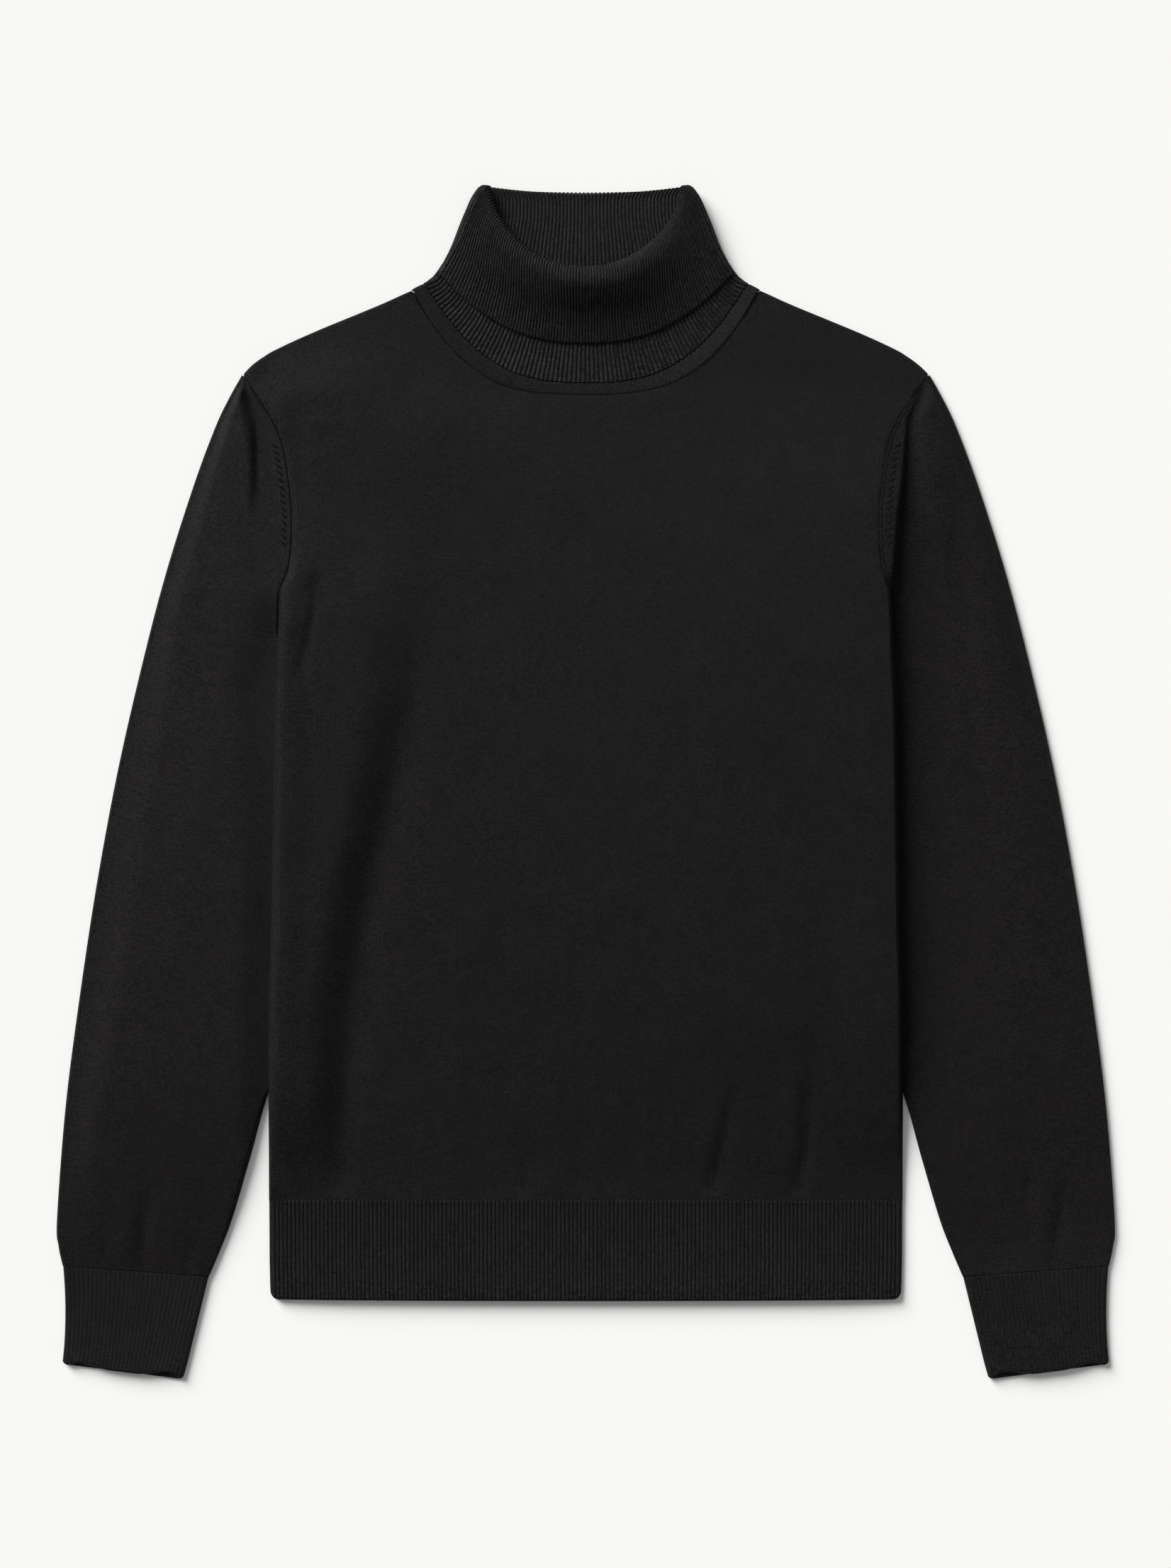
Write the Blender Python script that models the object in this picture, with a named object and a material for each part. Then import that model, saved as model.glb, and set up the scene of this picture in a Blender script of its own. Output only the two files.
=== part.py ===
"""Turtleneck sweater in fine black knit, laid flat with its front up.

Run it with: blender --background --python part.py

The garment lies in the XY plane on z = 0, with its collar towards +Y. The origin is
the middle of its bounding box, on the surface that it lies on. Every piece is a wall
of cloth: its middle surface is a grid of points worked out from the tables below, and
its two faces lie half the cloth's thickness to each side. Ribs are raised in the outer
points, over a plain inside. Lengths are in millimetres, and MM turns them to metres
when a mesh is made.
"""

import bmesh
import bpy
import numpy as np

MM = 0.001
JET = (0.011, 0.011, 0.012, 1.0)
KNIT_ROUGHNESS = 0.9
CREASE_ANGLE = np.radians(50)      # a sharper edge than this is shaded as a crease
CURVE_STEPS = 400                  # points of a table's fine line
NECK_STEPS = 120                   # points of half a line in front of the neck
TURN_STEPS = 41                    # points where it turns to the back

# Cloth
JERSEY = 1.5         # thickness of the plain knit, and of the rib in its furrows
RIB_RISE = 0.55      # how far a rib stands above its furrows
RIB_FADE = (-0.6, 0.0)   # upward part of a wall's direction, where its ribs start
SEAM_GAP = 0.3       # clear gap between neighbouring pieces
LAYERS = 2.2         # from the back layer's middle to the front layer's, at a fold
BACK_LEVEL = JERSEY / 2
FRONT_LEVEL = BACK_LEVEL + LAYERS
FOLD_RADIUS = LAYERS / 2
FOLD_ANGLES = np.radians((45, 90, 135))
EDGE_BEND = np.radians(61)                  # turn of an edge that meets its partner
EDGE_STRIP = FOLD_RADIUS * EDGE_BEND        # width of the cloth that turns there
EDGE_STEPS = (0.5, 1.0)                     # places of the columns in that strip
TIP_BEND = np.radians(45)                   # turn of a panel's edge at the shoulder's tip

# Hem rib
HEM_TOP = -278.2
HEM_END = -343.8
HEM_DROOP = 0.9      # how far its middle hangs below its ends
HEM_CORNER = 5.0
HEM_RIBS = 154
HEM_PLAIN = 44       # rib columns for each column of the plain inside
HEM_BACK_COLUMNS = 9

# Body
BODY_SIDE = dict(    # half width from the hem to the underarm
    y=(-344.0, -318.0, -278.0, -146.0, -87.0, 48.0, 96.0, 126.0),
    half=(209.4, 210.0, 210.2, 209.8, 208.2, 206.0, 203.9, 202.9),
)
ARMHOLE = dict(      # armhole seam, from the underarm up to the tip of the shoulder
    x=(202.9, 196.2, 194.2, 196.2, 201.5, 212.5, 226.6),
    y=(126.0, 143.0, 170.0, 198.0, 226.0, 248.5, 267.6),
)
SHOULDER = dict(     # shoulder edge, from the neck to the tip
    x=(116.4, 138.9, 179.8, 204.5, 213.9, 221.4, 227.6),
    y=(325.2, 315.1, 298.2, 286.9, 281.3, 275.7, 269.6),
)
UNDERARM = 126.0
ARMHOLE_ROWS = (137.0, 155.0, 176.0, 198.0, 219.0, 238.0, 254.0)
SHOULDER_TIP = 267.6
FRONT_ROWS = (-258.0, -236.0, -212.0, -180.0, -135.0, -85.0, -35.0, 15.0, 58.0, 90.0,
              112.0, 123.5)
BACK_ROWS = (-236.0, -212.0, -180.0, -100.0, -35.0, 15.0, 58.0, 90.0, 112.0, 123.5)
PANEL_PARTS = (0.0, 0.08, 0.16, 0.24, 0.32, 0.4, 0.48, 0.55, 0.65, 0.75, 0.84, 0.92, 1.0)
NECK_PART = 0.55     # the part of a panel's half width that ends at the neck
NECK_GAP = 0.65      # from the neck band to a panel, whose edge is cut in chords
TIP_DRAW = 0.5       # how far the tip of a panel draws in, as a part of its turned edge
BODY_CROWN = 1.3     # how much higher the front lies than at its folds
CROWN_INSET = 14.0   # from the body's side to where its relief ends
CROWN_EDGE = (0.82, 1.0)     # where it falls off, as parts of the half width
FOLDS_EDGE = (0.96, 1.0)
CROWN_START = 16.0   # how far above the hem's seam it is whole
CROWN_END = (215.0, 256.0)

# The sleeves are tucked below the body's sides, which they raise.
TUCK_LIFT = 4.0
TUCK_RAMP = 34.0
TUCK_MARGIN = 12.0
TUCK_LIMIT = 191.0               # the furthest out that the raised part may start
TUCK_START = (-240.0, -216.0)    # heights between which the lift grows
TUCK_END = (118.0, 185.0)        # and ends
TUCK_NECK = (97.0, 123.0)        # where it passes from the body to a sleeve
TUCK_REACH = (204.0, 245.0)      # how far out a sleeve shares it

# Sleeves
SLEEVE_OUTER = dict(  # outline from the tip of the shoulder to the cuff
    y=(269.6, 255.0, 236.0, 198.6, 142.2, 85.8, 10.6, -64.6, -139.8, -215.0, -290.2,
       -309.0, -321.6),
    x=(228.0, 236.2, 245.3, 259.3, 277.3, 292.3, 309.7, 323.8, 335.3, 345.0, 350.8,
       349.7, 347.0),
)
ARMHOLE_OUTER = (267.4, 251.0, 230.0, 205.0, 180.0, 160.0, 142.0, 131.0)
SLEEVE_ROWS = dict(   # sections below the underarm, where each meets the two edges
    inner_y=(120.0, 106.0, 88.0, 64.0, 30.0, -15.0, -65.0, -120.0, -172.0, -207.0,
             -250.0, -291.0, -313.0, -328.8),
    inner_x=(204.7, 204.9, 201.0, 190.0, 178.0, 171.5, 171.3, 179.3, 194.5, 210.4,
             222.6, 234.7, 243.2, 250.0),
    outer_y=(125.0, 113.0, 97.0, 75.0, 44.0, 1.0, -48.0, -104.0, -158.0, -195.0, -240.0,
             -286.0, -307.0, -321.6),
)
SLEEVE_FRONT_PARTS = (0.25, 0.5, 0.75, 1.0)   # of the part that the body leaves in view
SLEEVE_BACK_PARTS = (1.0, 0.67, 0.33, 0.0)
ARMHOLE_GAP = 0.5    # from the armhole's seam line to a sleeve
BODY_CLEAR = 6.0     # from the body's side to where a sleeve's relief starts
SLEEVE_CROWN = 1.6
SLEEVE_HIDDEN = (0.12, 0.6)  # least and most of a section that lies under the body
CLEAR_RAMP = 22.0    # width over which its relief grows, beside the body
CLEAR_PARTS = (0.1, 0.4)     # and above the underarm, as parts of a section
FOLD_PARTS = (0.8, 1.0)      # where it ends before the fold
CUFF_RAMP = (-321.0, -300.0)

# Cuff sections, from the seam with the sleeve down to the mouth
CUFF_ROWS = dict(
    inner_x=(250.3, 266.9),
    inner_y=(-329.1, -397.1),
    outer_x=(346.8, 347.2),
    outer_y=(-321.9, -386.8),
)
CUFF_WAIST = 1.6     # how far the outer edge draws in between them
CUFF_RIBS = 30
CUFF_PLAIN = 15
CUFF_CORNER = 3.5

# Neck band, a flat tube round the neckline: its inner and its outer edge in plan
BAND = dict(
    half=(108.6, 115.2),
    corner_y=(328.4, 324.8),
    front_y=(263.8, 256.4),
    back_y=(313.4, 306.0),
    power=(3.0, 3.2),
)
BAND_THICK = 2.0
BAND_STEPS = 48
BAND_FRONT_STEPS = 27
BAND_ANGLES = np.radians((0, 60, 120, 180, 240, 300))
BAND_SQUARE = 0.4    # power that squares the band's section
BAND_RAISE = 0.1     # how far its front stands above the front layer

# Collar, as lines round the neck: from its seam, up the stand, over the roll and down
# the turned flap. half and corner_y give where a line turns from the front to the back,
# front_y and back_y its middles, z its height there and at the corners, and ribs the
# number of its ribs that lie in front.
COLLAR = dict(
    half=(107.0, 99.8, 90.0, 67.0, 67.4, 71.4, 86.8, 98.3),
    corner_y=(329.8, 334.6, 349.0, 390.6, 395.2, 391.6, 357.0, 334.4),
    front_y=(264.6, 290.0, 314.0, 338.6, 336.6, 329.0, 309.5, 292.2),
    back_y=(314.4, 328.0, 350.0, 387.6, 389.6, 387.4, 368.0, 346.0),
    front_z=(3.2, 5.2, 8.6, 15.0, 17.2, 16.6, 10.8, 8.0),
    front_corner_z=(3.6, 5.6, 6.6, 7.4, 8.2, 8.7, 8.9, 8.5),
    back_z=(0.9, 2.0, 3.6, 3.3, 2.2, 0.75, 0.75, 0.75),
    back_corner_z=(0.9, 2.4, 3.6, 3.3, 2.2, 0.75, 0.75, 0.75),
    power=(2.8, 2.5, 2.3, 2.0, 2.0, 2.1, 2.3, 2.4),
    ribs=(86, 88, 92, 98, 100, 102, 106, 109),
)
COLLAR_RIBS = 156
COLLAR_PLAIN = 8     # rib columns for each column of the plain inside
STAND_SHOWN = 2      # first lines of the stand, which show below the flap
STAND_HIDDEN = 1     # the line that the stand's neck side does without
STAND_FADE = (0.2, 0.6)      # upward part of the stand's direction, where ribs start

# Folds that lie in the front layer: a ridge where height is positive, else a trough
FOLDS = dict(
    x0=(-130.0, 83.0, 133.0, 131.0, -190.0, 233.0, -219.0, 290.0),
    y0=(34.0, -264.0, -276.0, 24.0, -40.0, 217.0, 236.0, -288.0),
    x1=(-170.0, 94.0, 143.0, 166.0, -203.0, 265.0, -216.0, 296.0),
    y1=(-272.0, -215.0, -196.0, -140.0, -262.0, -22.0, 188.0, -322.0),
    width=(13.0, 8.0, 9.0, 12.0, 9.0, 11.0, 5.0, 7.0),
    height=(-1.0, 0.9, 0.9, 0.7, 0.7, -1.0, -1.0, 0.8),
)


# ---- numbers and curves ---------------------------------------------------------

def smooth(low, high, value):
    """0 below low, 1 above high, and an easy rise between them."""
    part = np.clip((np.asarray(value, float) - low) / (high - low), 0.0, 1.0)
    return part * part * (3.0 - 2.0 * part)


def unit(vectors):
    """The same vectors at length 1."""
    return vectors / np.maximum(np.linalg.norm(vectors, axis=-1, keepdims=True), 1e-9)


def table_line(table):
    """A table's x and y columns as a fine, smooth line."""
    points = np.stack([table["x"], table["y"]], axis=1)
    padded = np.vstack([2 * points[0] - points[1], points, 2 * points[-1] - points[-2]])
    places = np.linspace(0.0, len(points) - 1.0, CURVE_STEPS)
    first = np.minimum(places.astype(int), len(points) - 2)
    t = (places - first)[:, None]
    a, b, c, d = (padded[first + step] for step in range(4))
    return 0.5 * (2 * b + (c - a) * t + (2 * a - 5 * b + 4 * c - d) * t ** 2
                  + (3 * b - a - 3 * c + d) * t ** 3)


def lengths(line):
    """How far each point of a line lies from its start, along it."""
    steps = np.linalg.norm(np.diff(line, axis=0), axis=1)
    return np.concatenate([[0.0], np.cumsum(steps)])


def at_lengths(line, marks):
    """Points of a line at distances along it."""
    length = lengths(line)
    return np.stack([np.interp(marks, length, column) for column in line.T], axis=1)


def at_heights(line, heights):
    """x of a line at heights, where it only rises or only falls."""
    order = np.argsort(line[:, 1])
    return np.interp(heights, line[order, 1], line[order, 0])


def sideways(line):
    """Unit directions in plan, square to a line and to its right."""
    along = unit(np.gradient(line, axis=0))
    return np.stack([along[:, 1], -along[:, 0]], axis=1)


def bend(part, turn):
    """How far out and down a strip reaches, at a part of its width, where it turns."""
    length = EDGE_STRIP * part
    if turn == 0.0:
        return length, 0.0
    rate = turn / EDGE_STRIP
    return np.sin(rate * length) / rate, (1.0 - np.cos(rate * length)) / rate


def corner_cut(inset, radius):
    """How far a rounded corner draws back, at a distance inside the edge."""
    part = np.clip(1.0 - inset / radius, 0.0, 1.0)
    return radius * (1.0 - np.sqrt(1.0 - part ** 2))


# ---- heights --------------------------------------------------------------------

def body_lift(x, y):
    """How far the body is raised by the sleeves that are tucked below its sides."""
    hidden = np.interp(-np.asarray(y), -np.array(SLEEVE_ROWS["inner_y"]),
                       SLEEVE_ROWS["inner_x"])
    edge = np.minimum(hidden, TUCK_LIMIT) - TUCK_MARGIN
    across = smooth(0.0, TUCK_RAMP, np.abs(x) - edge + TUCK_RAMP)
    return TUCK_LIFT * across * smooth(*TUCK_START, y) * (1.0 - smooth(*TUCK_END, y))


def sleeve_lift(x, y):
    """How far a sleeve is raised near the underarm, where it meets the body."""
    down = smooth(*TUCK_NECK, y) * (1.0 - smooth(*TUCK_END, y))
    return TUCK_LIFT * down * (1.0 - smooth(*TUCK_REACH, np.abs(x)))


def folds(x, y):
    """Height of the ridges and troughs of the front layer at a place."""
    height = np.zeros(np.shape(x))
    for x0, y0, x1, y1, width, rise in zip(*FOLDS.values()):
        length = np.hypot(x1 - x0, y1 - y0)
        run = ((x1 - x0) / length, (y1 - y0) / length)
        along = ((x - x0) * run[0] + (y - y0) * run[1]) / length
        off = (x - x0) * run[1] - (y - y0) * run[0]
        ends = smooth(0.0, 0.3, along) * (1.0 - smooth(0.7, 1.0, along))
        height = height + rise * ends * np.exp(-(off / width) ** 2)
    return height


# ---- walls ----------------------------------------------------------------------

def normals(grid, closed):
    """Unit directions square to a grid of points, from the faces round each one."""
    right = np.roll(grid, -1, axis=1) if closed else grid[:, 1:]
    left = grid if closed else grid[:, :-1]
    face = unit(np.cross(right[1:] - left[:-1], left[1:] - right[:-1]))
    total = np.zeros(grid.shape)
    for rows in (slice(None, -1), slice(1, None)):
        total[rows, :face.shape[1]] += face
        if closed:
            total[rows] += np.roll(face, 1, axis=1)
        else:
            total[rows, 1:] += face
    total = unit(total)
    # an edge turns as far past its last face as the line before it turns short of it
    if not closed:
        for edge, near in ((0, 1), (-1, -2)):
            last = unit(np.vstack([face[:1, edge], face[:-1, edge] + face[1:, edge],
                                   face[-1:, edge]]))
            total[:, edge] = unit(2 * last - total[:, near])
            last = unit(face[edge, :-1] + face[edge, 1:])
            total[edge, 1:-1] = unit(2 * last - total[near, 1:-1])
    return total


def join_lines(mesh, one, other, around=0):
    """Faces between two lines of numbered vertices, from one shared number to the next.

    around is the number of columns of lines that close on themselves, else 0.
    """
    if around:
        one = one + [(around, one[0][1])]
        other = other + [(around, other[0][1])]
    shared = sorted({number for number, _ in one} & {number for number, _ in other})
    for low, high in zip(shared[:-1], shared[1:]):
        near = [vertex for number, vertex in one if low <= number <= high]
        far = [vertex for number, vertex in other if low <= number <= high]
        mesh.faces.new(near + far[::-1])


def finish_piece(name, mesh):
    """Turns a closed bmesh into an object of the garment, with its own knit."""
    bmesh.ops.recalc_face_normals(mesh, faces=mesh.faces)
    data = bpy.data.meshes.new(name)
    mesh.to_mesh(data)
    mesh.free()
    data.shade_smooth()
    data.set_sharp_from_angle(angle=CREASE_ANGLE)
    data.materials.append(knit(name))
    garment.objects.link(bpy.data.objects.new(name, data))


def wall(name, outside, inside, around=0):
    """A closed solid between an outside and an inside.

    Each is a list of rows, and a row is its points and the numbers of those kept.
    """
    mesh = bmesh.new()
    faces = []
    for rows in (outside, inside):
        lines = [[(number, mesh.verts.new(points[number] * MM)) for number in kept]
                 for points, kept in rows]
        for one, other in zip(lines[:-1], lines[1:]):
            join_lines(mesh, one, other, around)
        faces.append(lines)
    for end in (0, -1):
        join_lines(mesh, faces[0][end], faces[1][end], around)
        if not around:
            edges = [[(row, line[end][1]) for row, line in enumerate(lines)]
                     for lines in faces]
            join_lines(mesh, edges[0], edges[1])
    finish_piece(name, mesh)


def cloth(name, grid, side, rise=None, inner_kept=None):
    """A wall of knit round a grid, its outside towards side, 1 or -1 on its normals.

    rise is the relief of the outside's points, and inner_kept the numbers of the
    columns that the plain inside keeps.
    """
    out = normals(grid, False) * side
    rise = np.zeros(grid.shape[:2]) if rise is None else rise * rib_shows(out)
    outside = grid + out * (JERSEY / 2 + rise)[:, :, None]
    inside = grid - out * JERSEY / 2
    every = range(grid.shape[1])
    inner_kept = every if inner_kept is None else inner_kept
    wall(name, [(row, every) for row in outside], [(row, inner_kept) for row in inside])


def rib_shows(out):
    """1 where a wall looks up or aside, and 0 on the underside, which lies flat."""
    return smooth(*RIB_FADE, out[..., 2])


def rib_rise(columns):
    """Relief of a row of columns, two for each rib: furrow, rib, furrow, rib ..."""
    return RIB_RISE * (np.arange(columns) % 2)


# ---- body -----------------------------------------------------------------------

def band_edge(parts, edge, front, out):
    """Points of an edge of the neck band at parts of its half width, moved outward."""
    middle = BAND["front_y" if front else "back_y"][edge]
    rise = BAND["corner_y"][edge] - middle
    height = middle + rise * parts ** BAND["power"][edge]
    return np.stack([(BAND["half"][edge] + out) * parts, height - out], axis=1)


def side_edge(heights):
    """A panel's right edge: outermost middle points, outward directions and turns."""
    below = heights < UNDERARM - 0.1
    seam = table_line(ARMHOLE)
    half = np.interp(heights, BODY_SIDE["y"], BODY_SIDE["half"])
    edge = np.stack([np.where(below, half, at_heights(seam, heights)), heights], axis=1)
    across = np.interp(heights, seam[:, 1], sideways(seam)[:, 0])
    upward = np.interp(heights, seam[:, 1], sideways(seam)[:, 1])
    out = np.where(below[:, None], (1.0, 0.0), np.stack([across, upward], axis=1))
    inset = np.where(below, JERSEY / 2, SEAM_GAP / 2)
    return edge - out * inset[:, None], out, np.where(below, EDGE_BEND, 0.0)


def top_edge(front):
    """A panel's right top edge, from the neck's middle to the tip, as side_edge."""
    parts = np.array(PANEL_PARTS)
    at_neck = parts[parts <= NECK_PART] / NECK_PART
    neck = band_edge(at_neck, 1, front, NECK_GAP)
    line = table_line(SHOULDER)
    along = (parts[parts > NECK_PART] - NECK_PART) / (1.0 - NECK_PART)
    shoulder = at_lengths(line, along * lengths(line)[-1])
    out = np.vstack([-sideways(neck), -sideways(shoulder)])
    turns = np.where(parts > NECK_PART, EDGE_BEND, 0.0)
    turns[-1] = TIP_BEND
    edge = np.vstack([neck, shoulder])
    edge[parts > NECK_PART] -= out[parts > NECK_PART] * JERSEY / 2
    return edge, out, turns


def start_of_strip(edge, out, turns):
    """Where the strip along an edge starts to turn."""
    reach = np.array([bend(1.0, turn)[0] for turn in turns])
    return edge - out * reach[:, None]


def patch(bottom, top, middle, side):
    """Points between four lines: the bottom and top, the middle and the right side."""
    u = np.array(PANEL_PARTS)[None, :, None]
    v = (middle[:, 1] - middle[0, 1]) / (middle[-1, 1] - middle[0, 1])
    v = v[:, None, None]
    return ((1 - v) * bottom[None] + v * top[None] + (1 - u) * middle[:, None]
            + u * side[:, None] - (1 - u) * (1 - v) * bottom[0]
            - u * (1 - v) * bottom[-1] - (1 - u) * v * top[0] - u * v * top[-1])


def panel_grid(front, rows):
    """Middle points of the front or back, from the hem's seam to shoulders and neck."""
    heights = np.array((HEM_TOP + SEAM_GAP / 2,) + rows + (UNDERARM,) + ARMHOLE_ROWS
                       + (SHOULDER_TIP,))
    edge, out, turns = side_edge(heights)
    side = start_of_strip(edge, out, turns)
    top_line, top_out, top_turns = top_edge(front)
    top = start_of_strip(top_line, top_out, top_turns)
    top[-1] = side[-1] - top_out[-1] * bend(1.0, EDGE_BEND)[0] * TIP_DRAW
    side[-1] = top[-1]

    parts = np.array(PANEL_PARTS)
    bottom = np.stack([parts * side[0, 0], np.full(len(parts), heights[0])], axis=1)
    share = (heights - heights[0]) / (heights[-1] - heights[0])
    middle = np.stack([np.zeros(len(share)), heights[0] + share * (top[0, 1] - heights[0])], 1)
    inner = patch(bottom, top, middle, side)

    strip = len(EDGE_STEPS)
    rows, columns = inner.shape[:2]
    plan = np.zeros((rows + strip, columns + strip, 2))
    drop = np.zeros(plan.shape[:2])
    plan[:rows, :columns] = inner
    for step, part in enumerate(EDGE_STEPS):
        for row in range(rows):
            reach, down = bend(part, turns[row])
            plan[row, columns + step] = inner[row, -1] + out[row] * reach
            drop[row, columns + step] = down
        for column in range(columns):
            reach, down = bend(part, top_turns[column])
            plan[rows + step, column] = inner[-1, column] + top_out[column] * reach
            drop[rows + step, column] = down
    corner = plan[rows:, columns - 1, None] - inner[-1, -1]
    plan[rows:, columns:] = plan[rows - 1, None, columns:] + corner
    drop[rows:, columns:] = drop[rows:, columns - 1, None]

    plan = np.concatenate([plan[:, :0:-1] * (-1.0, 1.0), plan], axis=1)
    drop = np.concatenate([drop[:, :0:-1], drop], axis=1)
    x, y = plan[..., 0], plan[..., 1]
    if front:
        return np.dstack([plan, FRONT_LEVEL + body_lift(x, y) + front_relief(x, y) - drop])
    return np.dstack([plan, BACK_LEVEL + body_lift(x, y) + drop])


def front_relief(x, y):
    """Height of the front's crown and folds, which end before its edges."""
    half = np.interp(y, BODY_SIDE["y"], BODY_SIDE["half"]) - CROWN_INSET
    part = np.abs(x) / half
    across = 1.0 - smooth(*CROWN_EDGE, part)
    ends = smooth(HEM_TOP, HEM_TOP + CROWN_START, y) * (1.0 - smooth(*CROWN_END, y))
    return BODY_CROWN * across * ends + folds(x, y) * (1.0 - smooth(*FOLDS_EDGE, part))


def hem_grid(front, columns):
    """Middle points of one half of the hem's rib."""
    heights = (HEM_TOP - SEAM_GAP / 2, HEM_END)
    reach = bend(1.0, EDGE_BEND)[0]
    rows = []
    for height in heights:
        half = np.interp(height, BODY_SIDE["y"], BODY_SIDE["half"]) - JERSEY / 2 - reach
        x = np.linspace(-half, half, columns)
        sag = HEM_DROOP * (1.0 - (x / half) ** 2)
        rise = corner_cut(half + reach - np.abs(x), HEM_CORNER)
        y = height - (sag - rise) * (height == HEM_END)
        row = [(across, along, 0.0) for across, along in zip(x, y)]
        for part in EDGE_STEPS:
            far, down = bend(part, EDGE_BEND)
            cut = corner_cut(reach - far, HEM_CORNER) * (height == HEM_END)
            row.insert(0, (-half - far, height + cut, down))
            row.append((half + far, height + cut, down))
        rows.append(row)
    grid = np.array(rows)
    drop = grid[..., 2].copy()
    grid[..., 2] = FRONT_LEVEL - drop if front else BACK_LEVEL + drop
    return grid


def build_body():
    """The front, the back and both halves of the hem."""
    cloth("front", panel_grid(True, FRONT_ROWS), 1)
    cloth("back", panel_grid(False, BACK_ROWS), -1)
    columns = 2 * HEM_RIBS + 1
    strip = len(EDGE_STEPS)
    grid = hem_grid(True, columns)
    rise = np.pad(rib_rise(columns), strip)[None, :]
    kept = [*range(strip), *range(strip, strip + columns, HEM_PLAIN),
            *range(strip + columns, 2 * strip + columns)]
    cloth("hem_rib_front", grid, -1, rise, kept)
    cloth("hem_rib_back", hem_grid(False, HEM_BACK_COLUMNS), 1)


# ---- sleeves --------------------------------------------------------------------

def tube_grid(inner, outer, seamed, front_parts, height):
    """Middle points of a sleeve or cuff, from its seam over the front to its seam.

    Each section runs straight in plan from the inner to the outer edge: the front
    layer, the fold at the outer edge and the back layer. Where a section is seamed,
    its inner edges turn to meet each other, and above that they meet the body.
    front_parts gives the places of a section's front columns, and height what is
    added at a place.
    """
    inner_out = sideways(inner)
    inner_out *= np.sign(((inner - outer) * inner_out).sum(axis=1))[:, None]
    outer_out = sideways(outer)
    outer_out *= np.sign(((outer - inner) * outer_out).sum(axis=1))[:, None]
    sections = []
    for row, closes in enumerate(seamed):
        turn = EDGE_BEND if closes else 0.0
        clear = JERSEY / 2 if closes else ARMHOLE_GAP
        start = inner[row] - inner_out[row] * (clear + bend(1.0, turn)[0])
        fold = outer[row] - outer_out[row] * (JERSEY / 2 + FOLD_RADIUS)
        strip = [(start + inner_out[row] * bend(part, turn)[0], bend(part, turn)[1])
                 for part in EDGE_STEPS]
        points = [(*place, FRONT_LEVEL - down, 0.0) for place, down in strip[::-1]]
        for part in front_parts(start, fold):
            points.append((*(start + (fold - start) * part), FRONT_LEVEL, part))
        for angle in FOLD_ANGLES:
            place = fold + outer_out[row] * FOLD_RADIUS * np.sin(angle)
            points.append((*place, BACK_LEVEL + FOLD_RADIUS * (1.0 + np.cos(angle)), 0.0))
        for part in SLEEVE_BACK_PARTS:
            points.append((*(start + (fold - start) * part), BACK_LEVEL, 0.0))
        points += [(*place, BACK_LEVEL + down, 0.0) for place, down in strip]
        sections.append([(x, y, z + height(x, y, part)) for x, y, z, part in points])
    return np.array(sections)


def sleeve_sections():
    """Where the sections of a right sleeve meet its inner and its outer edge."""
    seam = table_line(ARMHOLE)
    outline = table_line(SLEEVE_OUTER)
    top = np.array(ARMHOLE_ROWS[::-1] + (UNDERARM,))
    inner_y = np.concatenate([top, SLEEVE_ROWS["inner_y"]])
    inner_x = np.concatenate([at_heights(seam, top), SLEEVE_ROWS["inner_x"]])
    outer_y = np.array(ARMHOLE_OUTER + SLEEVE_ROWS["outer_y"])
    inner = np.stack([inner_x, inner_y], axis=1)
    outer = np.stack([at_heights(outline, outer_y), outer_y], axis=1)
    return inner, outer, np.arange(len(inner)) >= len(top)


def cuff_sections():
    """Where the sections of a right cuff meet its inner and its outer edge."""
    inner = np.stack([CUFF_ROWS["inner_x"], CUFF_ROWS["inner_y"]], axis=1)
    outer = np.stack([CUFF_ROWS["outer_x"], CUFF_ROWS["outer_y"]], axis=1)
    middle = (outer.sum(axis=0) / 2 - (CUFF_WAIST, 0.0))[None]
    inner = np.vstack([inner[:1], inner.sum(axis=0)[None] / 2, inner[1:]])
    outer = np.vstack([outer[:1], middle, outer[1:]])
    return inner, outer, np.array([True] * len(inner))


def sleeve_parts(start, fold):
    """Places of a section's front columns: two under the body, and those in view."""
    edge = np.interp(start[1], BODY_SIDE["y"], BODY_SIDE["half"]) + BODY_CLEAR
    hidden = np.clip((edge - start[0]) / (fold[0] - start[0]), *SLEEVE_HIDDEN)
    shown = hidden + (1.0 - hidden) * np.array(SLEEVE_FRONT_PARTS)
    return np.concatenate([(0.0, hidden / 2, hidden), shown])


def sleeve_height(side):
    """The heights added to a sleeve's layers: its lift, and its front's own relief."""
    def height(x, y, part):
        edge = np.interp(y, BODY_SIDE["y"], BODY_SIDE["half"]) + BODY_CLEAR
        beside = smooth(0.0, CLEAR_RAMP, x - edge)
        clear = beside if y < UNDERARM else smooth(*CLEAR_PARTS, part)
        ends = clear * (1.0 - smooth(*FOLD_PARTS, part)) * (part > 0.0)
        relief = SLEEVE_CROWN * smooth(*CUFF_RAMP, y) + folds(side * x, y)
        return sleeve_lift(x, y) + ends * relief
    return height


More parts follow.
